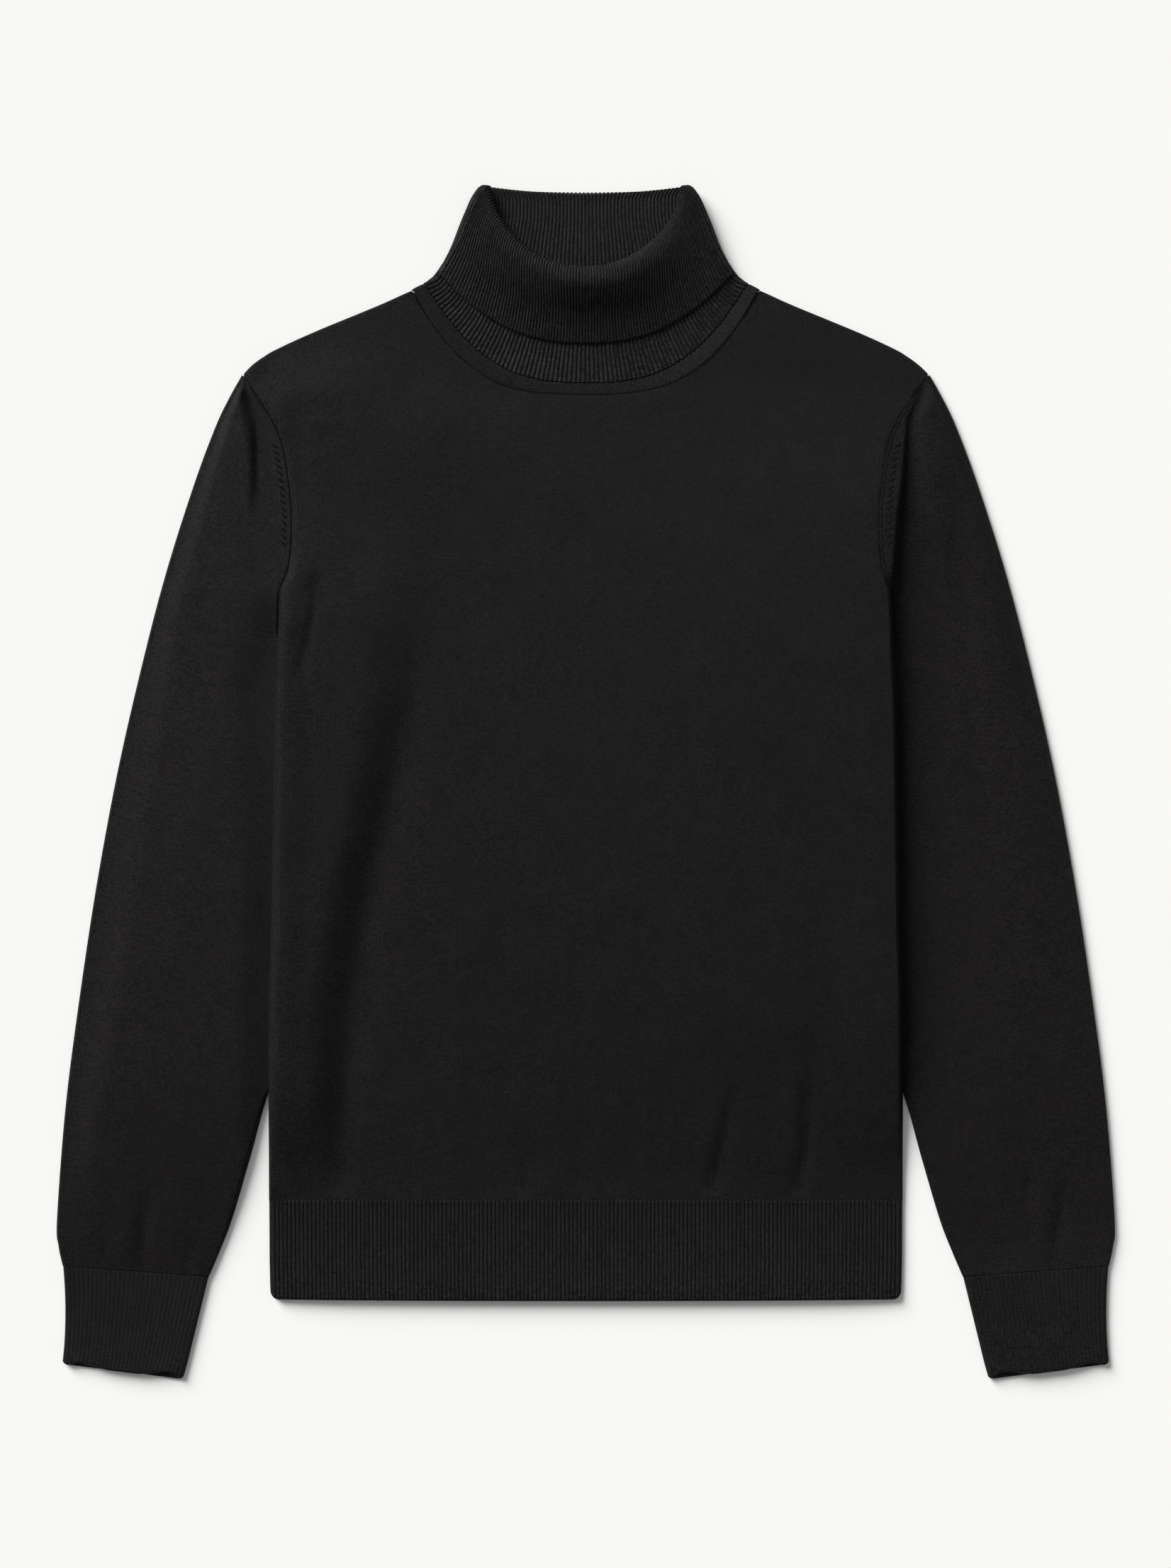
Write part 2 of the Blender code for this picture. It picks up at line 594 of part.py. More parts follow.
def build_sleeves():
    """Both sleeves with their cuffs, each made on the right and mirrored for the left."""
    strip = len(EDGE_STEPS)
    ribs = np.linspace(0.0, 1.0, 2 * CUFF_RIBS + 1)
    for name, side in (("left", -1), ("right", 1)):
        grid = tube_grid(*sleeve_sections(), sleeve_parts, sleeve_height(side))
        cloth("sleeve_" + name, grid * (side, 1, 1), side)

        grid = tube_grid(*cuff_sections(), lambda start, fold: ribs,
                         lambda x, y, part: 0.0)
        mouth = grid[-1]
        inset = np.minimum(mouth[:, 0] - mouth[:, 0].min(), mouth[:, 0].max() - mouth[:, 0])
        mouth[:, 1] += corner_cut(inset, CUFF_CORNER)
        rise = np.zeros(grid.shape[1])
        rise[strip:strip + len(ribs)] = rib_rise(len(ribs))
        kept = [*range(strip), *range(strip, strip + len(ribs), CUFF_PLAIN),
                *range(strip + len(ribs), grid.shape[1])]
        cloth("cuff_" + name, grid * (side, 1, 1), side, rise[None, :], kept)


# ---- neck -----------------------------------------------------------------------

def neck_line(half, corner_y, front_y, back_y, power, front_z, front_corner_z, back_z,
              back_corner_z):
    """The right half of a line round the neck, from the front's middle to the back's.

    Returns it with the length at which it turns from the front to the back.
    """
    radius = (front_corner_z - back_corner_z) / 2
    parts = np.sin(np.linspace(0.0, np.pi / 2, NECK_STEPS))
    x = (half - radius) * parts
    front = np.stack([x, front_y + (corner_y - front_y) * parts ** power,
                      front_corner_z + (front_z - front_corner_z) * (1 - parts ** 2)], 1)
    back = np.stack([x, back_y + (corner_y - back_y) * parts ** power,
                     back_corner_z + (back_z - back_corner_z) * (1 - parts ** 2)], 1)
    angles = np.linspace(0.0, np.pi, TURN_STEPS)[1:-1]
    turn = np.stack([half - radius + radius * np.sin(angles),
                     np.full(len(angles), corner_y),
                     back_corner_z + radius * (1.0 + np.cos(angles))], 1)
    line = np.vstack([front, turn, back[::-1]])
    return line, lengths(line)[len(front) + len(turn) // 2]


def round_neck(line, turns_at, in_front, in_all, places):
    """Points round the neck at places counted in steps from the front's middle."""
    places = (places + in_all / 2) % in_all - in_all / 2
    marks = np.interp(np.abs(places), (0.0, in_front / 2, in_all / 2),
                      (0.0, turns_at, lengths(line)[-1]))
    points = at_lengths(line, marks)
    points[:, 0] *= np.where(places < 0.0, -1.0, 1.0)
    return points


def build_collar():
    """The turned rib collar, one wall from its seam over the roll to the flap's edge."""
    columns = 2 * COLLAR_RIBS
    places = np.arange(columns) / 2
    grid = []
    for row in zip(*COLLAR.values()):
        half, corner_y, front_y, back_y, *heights, power, ribs = row
        line = neck_line(half, corner_y, front_y, back_y, power, heights[0], heights[1],
                         heights[2], heights[3])
        grid.append(round_neck(*line, ribs, COLLAR_RIBS, places))
    grid = np.array(grid)
    out = -normals(grid, True)
    rise = rib_rise(columns)[None, :] * rib_shows(out)
    rise[:STAND_SHOWN] = 0.0
    face = grid + out * (JERSEY / 2 + rise)[..., None]
    shown = rib_rise(columns)[None, :] * smooth(*STAND_FADE, -out[..., 2])
    shown[STAND_SHOWN:] = 0.0
    plain = grid - out * (JERSEY / 2 + shown)[..., None]
    every, few = range(columns), range(0, columns, COLLAR_PLAIN)
    outside = [(row, few if line < STAND_SHOWN else every)
               for line, row in enumerate(face) if line != STAND_HIDDEN]
    inside = [(row, every if line < STAND_SHOWN else few) for line, row in enumerate(plain)]
    wall("collar", outside, inside, columns)


def build_band():
    """The band that the collar and the body are linked to, a closed flat tube."""
    front_z = FRONT_LEVEL + (BAND_THICK - JERSEY) / 2 + BAND_RAISE
    back_z = BAND_THICK / 2
    places = np.arange(BAND_STEPS)
    edges = []
    for half, corner_y, front_y, back_y, power in zip(*BAND.values()):
        line = neck_line(half, corner_y, front_y, back_y, power, front_z, front_z, back_z,
                         back_z)
        edges.append(round_neck(*line, BAND_FRONT_STEPS, BAND_STEPS, places))
    inner, outer = edges
    middle, across = (inner + outer) / 2, (outer - inner) / 2
    along = np.roll(middle, -1, axis=0) - np.roll(middle, 1, axis=0)
    up = unit(np.cross(across, along)) * BAND_THICK / 2
    mesh = bmesh.new()
    rings = []
    for angle in BAND_ANGLES:
        wide = np.sign(np.cos(angle)) * np.abs(np.cos(angle)) ** BAND_SQUARE
        ring = middle + across * wide + up * np.sign(np.sin(angle)) * (np.sin(angle) != 0)
        rings.append([(step, mesh.verts.new(point * MM)) for step, point in enumerate(ring)])
    for one, other in zip(rings, rings[1:] + rings[:1]):
        join_lines(mesh, one, other, BAND_STEPS)
    finish_piece("neck_band", mesh)


# ---- materials and the whole ----------------------------------------------------

def knit(name):
    """Matt knitted yarn."""
    material = bpy.data.materials.new(name + "_knit")
    material.use_nodes = True
    shader = material.node_tree.nodes["Principled BSDF"]
    shader.inputs["Base Color"].default_value = JET
    shader.inputs["Roughness"].default_value = KNIT_ROUGHNESS
    shader.inputs["Metallic"].default_value = 0.0
    return material


for old in list(bpy.data.objects):
    bpy.data.objects.remove(old, do_unlink=True)
garment = bpy.data.collections.new("turtleneck_sweater")
bpy.context.scene.collection.children.link(garment)
build_body()
build_sleeves()
build_collar()
build_band()
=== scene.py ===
"""Turtleneck sweater in fine black knit, lying flat: its looks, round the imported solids.

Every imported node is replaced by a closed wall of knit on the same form. Its outline
follows the same tables as its solid's, but in fine steps, with real ribs, knuckles,
seams, folds and linking stitches. Lengths are in millimetres, and MM turns them to
metres when a mesh is made. The UV map of each wall counts its stitches: u in wales,
which are columns of stitches, and v in courses, which are rows.
"""

import bmesh
import bpy
import numpy as np
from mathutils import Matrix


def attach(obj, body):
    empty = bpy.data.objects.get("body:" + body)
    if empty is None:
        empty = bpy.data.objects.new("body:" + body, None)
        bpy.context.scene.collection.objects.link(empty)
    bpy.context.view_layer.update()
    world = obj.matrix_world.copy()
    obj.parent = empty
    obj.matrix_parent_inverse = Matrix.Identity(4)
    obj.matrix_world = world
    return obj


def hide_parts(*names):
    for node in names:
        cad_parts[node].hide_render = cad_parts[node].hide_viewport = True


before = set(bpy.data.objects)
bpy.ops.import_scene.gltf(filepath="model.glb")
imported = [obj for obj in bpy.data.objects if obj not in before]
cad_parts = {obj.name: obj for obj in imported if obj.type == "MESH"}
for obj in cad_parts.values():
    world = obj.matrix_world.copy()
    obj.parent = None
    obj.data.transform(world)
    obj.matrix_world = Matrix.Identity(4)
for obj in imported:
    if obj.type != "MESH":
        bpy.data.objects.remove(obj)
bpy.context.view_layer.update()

MM = 0.001

# Cloth
JERSEY = 1.5         # thickness of the plain knit, and of the rib in its furrows
RIB_RISE = 0.55      # how far a rib stands above its furrows
RIB_DEPTH = 0.3      # how far a furrow is drawn in
SEAM_GAP = 0.1       # clear gap between neighbouring pieces
WALE = 1.4           # width of a stitch
COURSE = 1.08        # height of a stitch
LAYERS = 2.2         # from the back layer's middle to the front layer's, at a fold
BACK_LEVEL = JERSEY / 2
FRONT_LEVEL = BACK_LEVEL + LAYERS
FOLD_RADIUS = LAYERS / 2
FOLD_ANGLES = np.radians(np.arange(15, 180, 15))
EDGE_BEND = np.radians(61)                  # turn of an edge that meets its partner
EDGE_STRIP = FOLD_RADIUS * EDGE_BEND        # width of the cloth that turns there
SEAM_BEND = np.radians(22)                  # turn of the edges that meet at an armhole
EDGE_STEPS = (0.25, 0.5, 0.75, 1.0)         # places of the columns in that strip
TIP_BEND = np.radians(45)                   # turn of a panel's edge at the shoulder's tip
ROLL = 0.55          # how far a free edge of knit bulges past its two faces
SHARP_EDGE = np.radians(70)      # angle from which faces meet in a sharp edge
LINE_POINTS = 400    # points of an outline's fine line
SEAM_SKIP = 8        # how many of them are made into one for a seam's trough
INSIDE_STEPS = (4, 4)        # rows and columns of an inside that are made into one

# One rib across its width, from one furrow to the next: places, and heights of 0 to 1
RIB_PLACES = np.array((0.0, 0.13, 0.29, 0.5, 0.71, 0.87))
RIB_HEIGHTS = np.array((0.0, 0.5, 0.88, 1.0, 0.88, 0.5))
KNUCKLE = 2.2        # length of the raised end of a rib, below a seam
KNUCKLE_PARTS = (0.4, 0.5)   # parts of it where the end is whole, and where it sinks
KNUCKLE_RISE = 0.4
KNUCKLE_SINK = 0.2   # how far the rib is drawn down at the seam itself
RIB_FADE = (-0.6, 0.0)   # upward part of a wall's direction, where its ribs start
RIB_INSIDE_STEPS = (6, len(RIB_PLACES))
MOUTH = (0.8, 1.0)   # parts of a hem's or cuff's length between which its corners round

# Hem rib
HEM_TOP = -278.2
HEM_END = -343.8
HEM_DROOP = 0.9      # how far its middle hangs below its ends
HEM_CORNER = 5.0
HEM_CURL = 2.2       # how far its front curls up at the mouth
HEM_RIBS = 154
HEM_ROWS = 34
HEM_CROWDING = 1.25  # power that draws the rows together below its seam
HEM_FLAT = 8         # power that keeps its curl even across and ends it at both sides
HEM_SHARE = 0.85     # its ribs' relief, as a part of the collar's

# Body
BODY_SIDE = dict(    # half width from the hem to the underarm
    y=(-344.0, -318.0, -278.0, -146.0, -87.0, 48.0, 96.0, 126.0),
    half=(209.4, 210.0, 210.2, 209.8, 208.2, 206.0, 203.9, 202.9),
)
ARMHOLE = dict(      # armhole seam, from the underarm up to the tip of the shoulder
    x=(202.9, 196.2, 194.2, 196.2, 201.5, 212.5, 226.6),
    y=(126.0, 143.0, 170.0, 198.0, 226.0, 248.5, 267.6),
)
SHOULDER = dict(     # shoulder edge, from the neck to the tip
    x=(117.6, 138.9, 179.8, 204.5, 213.9, 221.4, 227.6),
    y=(324.7, 315.1, 298.2, 286.9, 281.3, 275.7, 269.6),
)
UNDERARM = 126.0
SHOULDER_TIP = 267.6
NECK_PART = 0.55     # the part of a panel's half width that ends at the neck
NECK_GAP = 0.15      # from the neck band to a panel
TIP_DRAW = 0.5       # how far the tip of a panel draws in, as a part of its turned edge
BODY_DOME = 5.5      # how much higher the front's middle lies than its sides and ends
DOME_REACH = (206.0, 262.0)      # half width and half height of that dome
# How the front fills out beside its left and right side and below its shoulders: the
# height, and the distances from the edge at which it is whole and has sunk again. end
# gives the heights between which the sides' sinks, and stays what part is left above.
SIDE_FULLNESS = (
    dict(half=-1, height=2.6, rise=7.0, fall=26.0, end=(110.0, 180.0), stays=0.6),
    dict(half=1, height=8.0, rise=3.6, fall=240.0, end=(70.0, 285.0), stays=0.0),
)
SHOULDER_FULLNESS = (
    dict(half=-1, height=6.0, rise=46.0, fall=170.0),
    dict(half=1, height=0.3, rise=24.0, fall=90.0),
)
FULLNESS_START = 150.0       # how far above the hem's seam it is whole
FULLNESS_OVER = (118.0, 138.0)   # heights from which the right side's runs onto the sleeve
SHOULDER_FROM = (1.0, 1.9)       # sizes of the neckline between which the shoulders' begins
SHOULDER_APART = (10.0, 120.0)   # and distances from the middle
FOLDS_START = 3.0    # from an edge to where a fold is whole
HEM_START = 9.0      # and from the hem's seam
PANEL_STEP = 2.2     # size of the front's faces
SIDE_STEP = 1.0      # and within this width of its sides
SIDE_WIDTH = 24.0
NECKLINE_POINTS = 60         # of half the neckline, for its seam's trough

# The sleeves are tucked below the body's sides, which they raise.
TUCK_LIFT = 4.0
TUCK_STEP = dict(    # where the front comes down from the raised sides, and how wide
    y=(-277.0, -213.0, -142.0, -71.0, 0.0, 71.0, 126.0),
    left=(168.0, 171.0, 169.0, 157.0, 141.0, 128.0, 118.0),
    left_width=(40.0, 34.0, 33.0, 33.0, 34.0, 44.0, 60.0),
    right=(166.0, 172.0, 170.0, 160.0, 148.0, 136.0, 122.0),
    right_width=(36.0, 30.0, 28.0, 26.0, 32.0, 44.0, 60.0),
)
TUCK_WIDE = 2.6      # how much wider the front's step is than the back's on the right
TUCK_MORE = 5.0      # and how much higher on the left
TUCK_START = (-277.0, -203.0)    # heights between which the lift grows
TUCK_END = dict(left=(97.0, 250.0), right=(170.0, 275.0))        # and ends
TUCK_NECK = (92.0, 126.0)        # where it passes from the body to a sleeve
TUCK_EARLY = (30.0, 126.0)       # and where it begins on the left sleeve, beside the body
TUCK_BESIDE = (0.0, 24.0)        # from the body's side to where that is whole
TUCK_REACH = (204.0, 232.0)      # how far out it reaches on the left sleeve
VALLEYS = dict(      # where the sleeves rise again, beside the body and the armholes
    left=dict(
        y=(-60.0, 0.0, 61.0, 100.0, 126.0, 172.0, 205.0, 240.0, 262.0),
        x=(202.9, 202.9, 202.9, 202.9, 202.9, 198.0, 201.0, 213.0, 223.0),
        start=(-3.0, 1.0, 9.0, 3.0, 1.0, 4.0, 6.0, 4.0, 2.0),    # from the body, or from x
        width=(27.0, 27.0, 24.0, 28.0, 28.0, 26.0, 18.0, 12.0, 8.0),
    ),
    right=dict(       # the lift steps down at this one, in a sharp fold
        y=(126.0, 172.0, 205.0, 240.0, 262.0),
        x=(202.9, 206.5, 210.6, 213.2, 223.0),
        start=(18.0, 9.0, 5.0, 3.0, 2.0),
        width=(55.0, 24.0, 15.0, 9.0, 8.0),
    ),
)
VALLEY_STEP = 2.0    # half the width of that step

# Sleeves
SLEEVE_OUTER = dict(  # outline from the tip of the shoulder to the cuff
    y=(269.6, 255.0, 236.0, 198.6, 142.2, 85.8, 10.6, -64.6, -139.8, -215.0, -290.2,
       -309.0, -321.6),
    x=(228.0, 236.2, 245.3, 259.3, 277.3, 292.3, 309.7, 323.8, 335.3, 345.0, 350.8,
       349.7, 347.0),
)
SLEEVE_ROWS = dict(   # sections, where each meets the sleeve's inner and outer edge
    inner_y=(254.0, 238.0, 219.0, 198.0, 176.0, 155.0, 137.0, 126.0, 120.0, 112.0, 104.0,
             97.0, 88.0, 64.0, 30.0, -15.0, -65.0, -120.0, -172.0, -207.0, -250.0, -291.0,
             -313.0, -328.9),
    inner_x=(216.1, 206.3, 199.7, 196.2, 194.3, 194.7, 198.4, 202.9, 203.4, 203.7, 203.9,
             203.9, 200.5, 190.0, 178.0, 171.5, 171.3, 179.3, 194.5, 210.4, 222.6, 234.7,
             243.2, 250.0),
    outer_y=(269.3, 251.0, 230.0, 205.0, 180.0, 160.0, 142.0, 131.0, 125.0, 118.0, 111.0,
             105.0, 97.0, 75.0, 44.0, 1.0, -48.0, -104.0, -158.0, -195.0, -240.0, -286.0,
             -307.0, -321.7),
)
ARMHOLE_GAP = 0.1    # from the armhole's seam line to a sleeve
SLEEVE_CROWN = dict(left=6.0, right=3.6)     # how much higher their fronts' middles lie
CROWN_PARTS = (0.8, 1.0)     # parts across between which that sinks to the fold
CROWN_RAMP = (-328.0, -190.0)    # and heights between which it sinks to the cuff
SLEEVE_STEPS = 281
SLEEVE_COLUMNS = 73
SLEEVE_CROWDING = 0.6        # how far its columns draw together at both edges
SLEEVE_BACK_COLUMNS = 31
SECTION_POINTS = 4000

# Cuff sections, from the seam with the sleeve down to the mouth
CUFF_ROWS = dict(
    inner_x=(250.3, 266.9),
    inner_y=(-329.1, -397.1),
    outer_x=(346.8, 347.2),
    outer_y=(-321.9, -386.8),
)
CUFF_WAIST = 1.6     # how far the outer edge draws in between them
CUFF_RIBS = 30
CUFF_SHARE = 0.4     # its ribs' relief, as a part of the collar's
CUFF_CURL = 1.3      # how far its back curls up where the mouth shows its inside
CUFF_FLARE = 1.6     # and its front above that
CUFF_STEPS = 37
CUFF_CROWDING = 1.2  # and the powers for its rows and its front, as the hem's
CUFF_FLAT = 6
CUFF_CORNER = 3.5
CUFF_LIPS = ((0.02, 0.12, 0.4, 2.6), (0.6, 0.9, 1.02, 3.6))   # start, peak, end, height
CUFF_LIP_CURL = (0.9, 1.0)   # parts of its length between which the back curls

# Neck band, a flat tube round the neckline: its inner and its outer edge in plan
BAND = dict(
    half=(107.4, 115.4),
    corner_y=(329.4, 325.3),
    front_y=(264.3, 256.4),
    back_y=(314.0, 306.6),
    power=(2.8, 3.2),
)
BAND_THICK = 1.8
BAND_STEPS = 480
BAND_FRONT_STEPS = 270
BAND_ANGLES = np.radians(np.arange(0, 360, 22.5))
BAND_SQUARE = 0.6    # power that squares the band's section
BAND_TURN = 1.1      # how far it turns outward, at its ends, from its front to its back
BAND_TURN_POWER = 12         # power that keeps this to its ends
NECK_DROP = BAND["corner_y"][1] - BAND["front_y"][1]

# Collar, as lines round the neck: from its seam, up the stand, over the roll and down
# the turned flap. along is how far each line lies from the seam, half and corner_y give
# where it turns from the front to the back, front_y and back_y its middles, z its height
# there and at the corners, and ribs the number of its ribs that lie in front. round says
# how much of an ellipse is in the front's curve, and spread how much closer its ribs lie
# at the middle than at the sides.
COLLAR = dict(
    along=(0.0, 20.0, 42.0, 70.0, 79.0, 83.0, 87.0, 92.0, 104.0, 118.0, 128.0, 141.0),
    half=(107.3, 99.8, 90.0, 69.5, 65.4, 66.8, 69.6, 73.6, 80.6, 87.4, 92.0, 98.3),
    corner_y=(329.5, 334.6, 349.0, 382.0, 390.6, 393.2, 393.0, 388.0, 373.0, 355.6, 346.3, 334.4),
    front_y=(264.6, 290.0, 314.0, 333.0, 338.8, 338.2, 335.4, 330.4, 321.6, 310.4, 302.4, 290.0),
    back_y=(314.2, 328.0, 350.0, 378.0, 386.9, 388.9, 389.3, 387.2, 378.0, 368.0, 358.5, 346.0),
    power=(2.8, 2.5, 2.3, 2.1, 2.0, 2.0, 2.0, 2.05, 2.2, 2.3, 2.35, 2.4),
    round=(0.0, 0.0, 0.2, 0.7, 0.8, 0.8, 0.8, 0.7, 0.45, 0.25, 0.1, 0.0),
    front_z=(3.1, 3.4, 4.4, 9.2, 13.8, 17.2, 19.8, 20.9, 17.8, 11.2, 8.0, 5.4),
    front_corner_z=(3.2, 4.0, 5.2, 6.8, 8.2, 9.4, 10.2, 10.2, 9.0, 7.8, 7.1, 6.2),
    back_z=(0.9, 2.0, 3.4, 2.8, 2.6, 2.9, 2.1, 0.95, 0.95, 0.95, 0.95, 0.95),
    back_corner_z=(0.9, 2.4, 3.4, 2.8, 2.6, 2.9, 2.1, 1.1, 1.1, 1.1, 1.1, 1.1),
    ribs=(86, 87, 88, 97, 101, 102, 103, 103, 102, 101, 100, 99),
    spread=(0.0, 0.0, 0.0, 0.0, 0.0, 0.0, 0.0, 0.01, 0.04, 0.07, 0.08, 0.09),
)
COLLAR_RIBS = 156
COLLAR_STEP = 2.2
STAND_SHOWN = 34.0   # how much of the stand has its ribs on the outside in view
FLAP_EDGE = 8.0      # width over which the flap thins toward its edge
FLAP_THIN = 0.4      # by this part of its thickness
COLLAR_HIDDEN_STEP = 6       # rows of the hidden inside that are made into one
NECK_STEPS = 160     # points of half a line in front of the neck
TURN_STEPS = 41      # points where it turns to the back

# Creases of the front layer. Each is a line of points: x, y, half width and height,
# where a height below 0 is a trough.
FRONT_CREASES = (
    ((-110, 66, 15, 0.0), (-121, 10, 14, -1.4), (-138, -62, 13, -1.8), (-153, -140, 13, -1.8),
     (-161, -205, 10, -1.8), (-162, -268, 7, -1.3)),
    ((-197, -70, 16, 0.0), (-197, -130, 17, 1.2), (-197, -205, 18, 1.8), (-197, -262, 18, 1.2)),
    ((118, 40, 16, 0.0), (138, -10, 16, -1.6), (156, -60, 15, -2.4), (164, -120, 15, -2.4),
     (168, -180, 14, -1.6), (168, -240, 12, 0.0)),
    ((74, -81, 6, 0.0), (89, -117, 6, -0.9), (106, -163, 7, 0.0)),
    ((66, -92, 8, 0.0), (82, -125, 8, 0.7), (96, -170, 8, 0.0)),
    ((100, -196, 6, 0.0), (96, -214, 4.5, -0.9), (92, -239, 4.5, -1.4), (85, -270, 4.5, -1.2)),
    ((89, -200, 7, 0.0), (85, -218, 6, 0.7), (80, -241, 6, 0.8), (73, -270, 5, 0.5)),
    ((152, -120, 9, 0.0), (150, -193, 7, -1.3), (147, -236, 5, -1.7), (143, -270, 5, -1.3)),
    ((138, -150, 8, 0.0), (137, -200, 7, 0.8), (134, -240, 6, 0.9), (131, -270, 5, 0.5)),
    ((60, -165, 7, 0.0), (57, -195, 7, -0.8), (53, -226, 7, 0.0)),
    ((0, -205, 8, 0.0), (-2, -236, 8, -0.8), (-3, -268, 7, -0.4)),
    ((-53, -40, 9, 0.0), (-55, -112, 9, -0.8), (-51, -180, 9, 0.0)),
    ((-34, -125, 7, 0.0), (-33, -160, 7, -0.7), (-32, -196, 7, 0.0)),
    ((-37, -240, 6, 0.0), (-39, -268, 6, -0.8)),
    ((-177, 140, 4.5, 0.0), (-178, 126, 4.5, -1.1), (-179, 108, 4.5, -1.5), (-184, 90, 5, -1.4),
     (-188, 74, 5, -1.0), (-192, 54, 5, 0.0)),
    ((-193, 128, 5, 0.0), (-196, 106, 5, 0.8), (-200, 84, 4, 0.0)),
    ((-196, 254, 6, 0.0), (-192, 236, 6, -1.6), (-189, 205, 6, -1.2), (-187, 172, 7, 0.0)),
    ((188, 250, 8, 0.0), (186, 222, 8, -0.7), (182, 180, 9, 0.0)),
    ((165, 150, 9, 0.0), (168, 126, 8, -0.8), (176, 96, 9, 0.0)),
    ((-60, 210, 22, 0.0), (-20, 190, 24, 0.5), (40, 200, 22, 0.0)),
    ((-110, 120, 22, 0.0), (-90, 60, 26, 0.6), (-96, -20, 22, 0.0)),
    ((96, 120, 22, 0.0), (90, 60, 24, 0.5), (86, -10, 22, 0.0)),
)
LEFT_CREASES = (
    ((-219, 254, 2.6, 0.0), (-218, 238, 2.6, -4.0), (-218, 214, 2.8, -4.0),
     (-217, 192, 4, -3.0), (-216, 168, 8, -1.6), (-216, 110, 10, 0.0)),
    ((-238, 240, 8, 0.0), (-237, 210, 8, 1.2), (-236, 168, 9, 0.0)),
    ((-286, -258, 7, 0.0), (-292, -290, 5, -1.3), (-294, -324, 4, -0.8)),
    ((-300, -262, 7, 0.0), (-304, -292, 6, 0.8), (-306, -322, 5, 0.3)),
    ((-258, -296, 5, 0.0), (-262, -314, 4, -0.8), (-264, -326, 4, -0.4)),
    ((-317, -280, 6, 0.0), (-319, -302, 5, -0.7), (-320, -322, 4, -0.3)),
    ((-240, 60, 16, 0.0), (-252, -20, 16, 0.9), (-266, -120, 16, 0.0)),
    ((-268, 60, 12, 0.0), (-286, -40, 12, -0.7), (-300, -120, 12, 0.0)),
)
RIGHT_CREASES = (
    ((232, 240, 7, 0.0), (236, 215, 7, 0.9), (240, 190, 8, 0.0)),
    ((243, 200, 8, 0.0), (247, 140, 9, -1.4), (252, 70, 9, -1.4), (264, -20, 9, -1.2),
     (277, -112, 10, 0.0)),
    ((258, 150, 10, 0.0), (264, 70, 11, 0.8), (278, -20, 11, 0.0)),
    ((316, -262, 7, 0.0), (314, -288, 5, -1.4), (312, -324, 4, -0.9)),
    ((303, -262, 7, 0.0), (302, -290, 6, 0.8), (301, -322, 5, 0.3)),
    ((290, -246, 7, 0.0), (293, -276, 6, -0.8), (294, -306, 6, 0.0)),
    ((276, -300, 5, 0.0), (275, -316, 4, -0.7), (275, -326, 4, -0.3)),
    ((300, -110, 14, 0.0), (306, -180, 14, -0.8), (312, -250, 12, 0.0)),
)
CREASE_STEPS = 48    # points of a crease's fine line
CREASE_REACH = 3.0   # in half widths, how far from its line a crease is followed

# Short fine creases in a sleeve's outer edge: middles and lengths
LEFT_EDGE_CREASES = dict(
    y=(95.6, 72.6, 43.5, 10.6, -22.3, -62.3, -106.9, -153.9),
    length=(15.0, 11.0, 13.0, 17.0, 14.0, 19.0, 16.0, 22.0),
)
RIGHT_EDGE_CREASES = dict(
    y=(14.8, -22.3, -57.6, -106.9, -153.9),
    length=(12.0, 16.0, 13.0, 20.0, 18.0),
)
EDGE_CREASE_INSET = 2.9
EDGE_CREASE = (0.55, -0.55)          # half width and height
EDGE_CREASE_POINTS = 9
UNDERARM_SEAM = (0.6, -0.6)          # the same for the seam along a sleeve's inner edge
UNDERARM_INSET = 3.6
UNDERARM_SHOWN = -172.0              # height below which that seam comes into view
ARMHOLE_SEAM = (1.3, -0.6)           # and for the seams round the armhole and the neck
NECK_SEAM = (1.5, -0.2)

# Slow unevenness of cloth that was smoothed by hand: wavelengths, directions, heights
WAVES = dict(
    length=(83.0, 57.0, 38.0, 29.0),
    angle=(0.4, 1.9, 2.7, 1.1),
    height=(0.16, 0.12, 0.07, 0.05),
)
WAVE_ACROSS = 0.6    # how closely they follow each other across, as a part of along

# Marks of shaping beside an armhole's seam: slanted crossed stitches on the sleeve,
# coloured near black as painted shadow of the holes beside them
MARKS_FROM = 224.0
MARKS_STEP = 4.8
MARKS_COUNT = 15
MARK_INSET = 5.8
MARK_SIZE = (5.8, 1.6, 0.9)         # length, width and height
MARK_ANGLE = np.radians(48)

# Linking stitches along the neck band's outer edge and along the armholes' seams; those
# along the armholes are coloured near black, as painted shadow along the seam
LINK_STEP = 1.45
BAND_LINK = (1.7, 0.6, 0.55)        # length, width and height
BAND_LINK_ANGLE = np.radians(32)
BAND_LINK_PLACE = (0.2, -0.1)       # outward from the band's edge, and above the front
BAND_LINK_POINTS = 2001      # of the band's fine edge
ARMHOLE_LINK = (1.8, 0.9, 0.9)
ARMHOLE_LINK_INSET = 1.1
ARMHOLE_LINK_ENDS = (128.0, 262.0)  # heights of the first and the last
STITCH_SIDES = dict(segments=8, ring_count=5)    # of a drop of yarn

# Camera and light
IMAGE_HEIGHT = 2213      # of the image, in pixels
PIXEL = 0.47             # millimetres on the surface to a pixel
VIEW_CENTRE = (-0.2, -1.9)
VIEW_LEVEL = 3.0         # height of the cloth that the camera's scale holds for
LENS = 85.0
SENSOR = 36.0
LAMPS = (      # azimuth that the light comes from, counted from +Y to -X, and elevation
    dict(name="window_left", azimuth=42.0, elevation=28.0, spread=36.0, strength=4.8),
    dict(name="overhead", azimuth=0.0, elevation=82.0, spread=60.0, strength=0.4),
)
STUDIO_LIGHT = ("#fbfbff", 0.15)     # colour and strength of the light from all round
FLOOR_SIZE = 8.0         # metres
FLOOR_DROP = 0.0001      # metres that it lies below the cloth
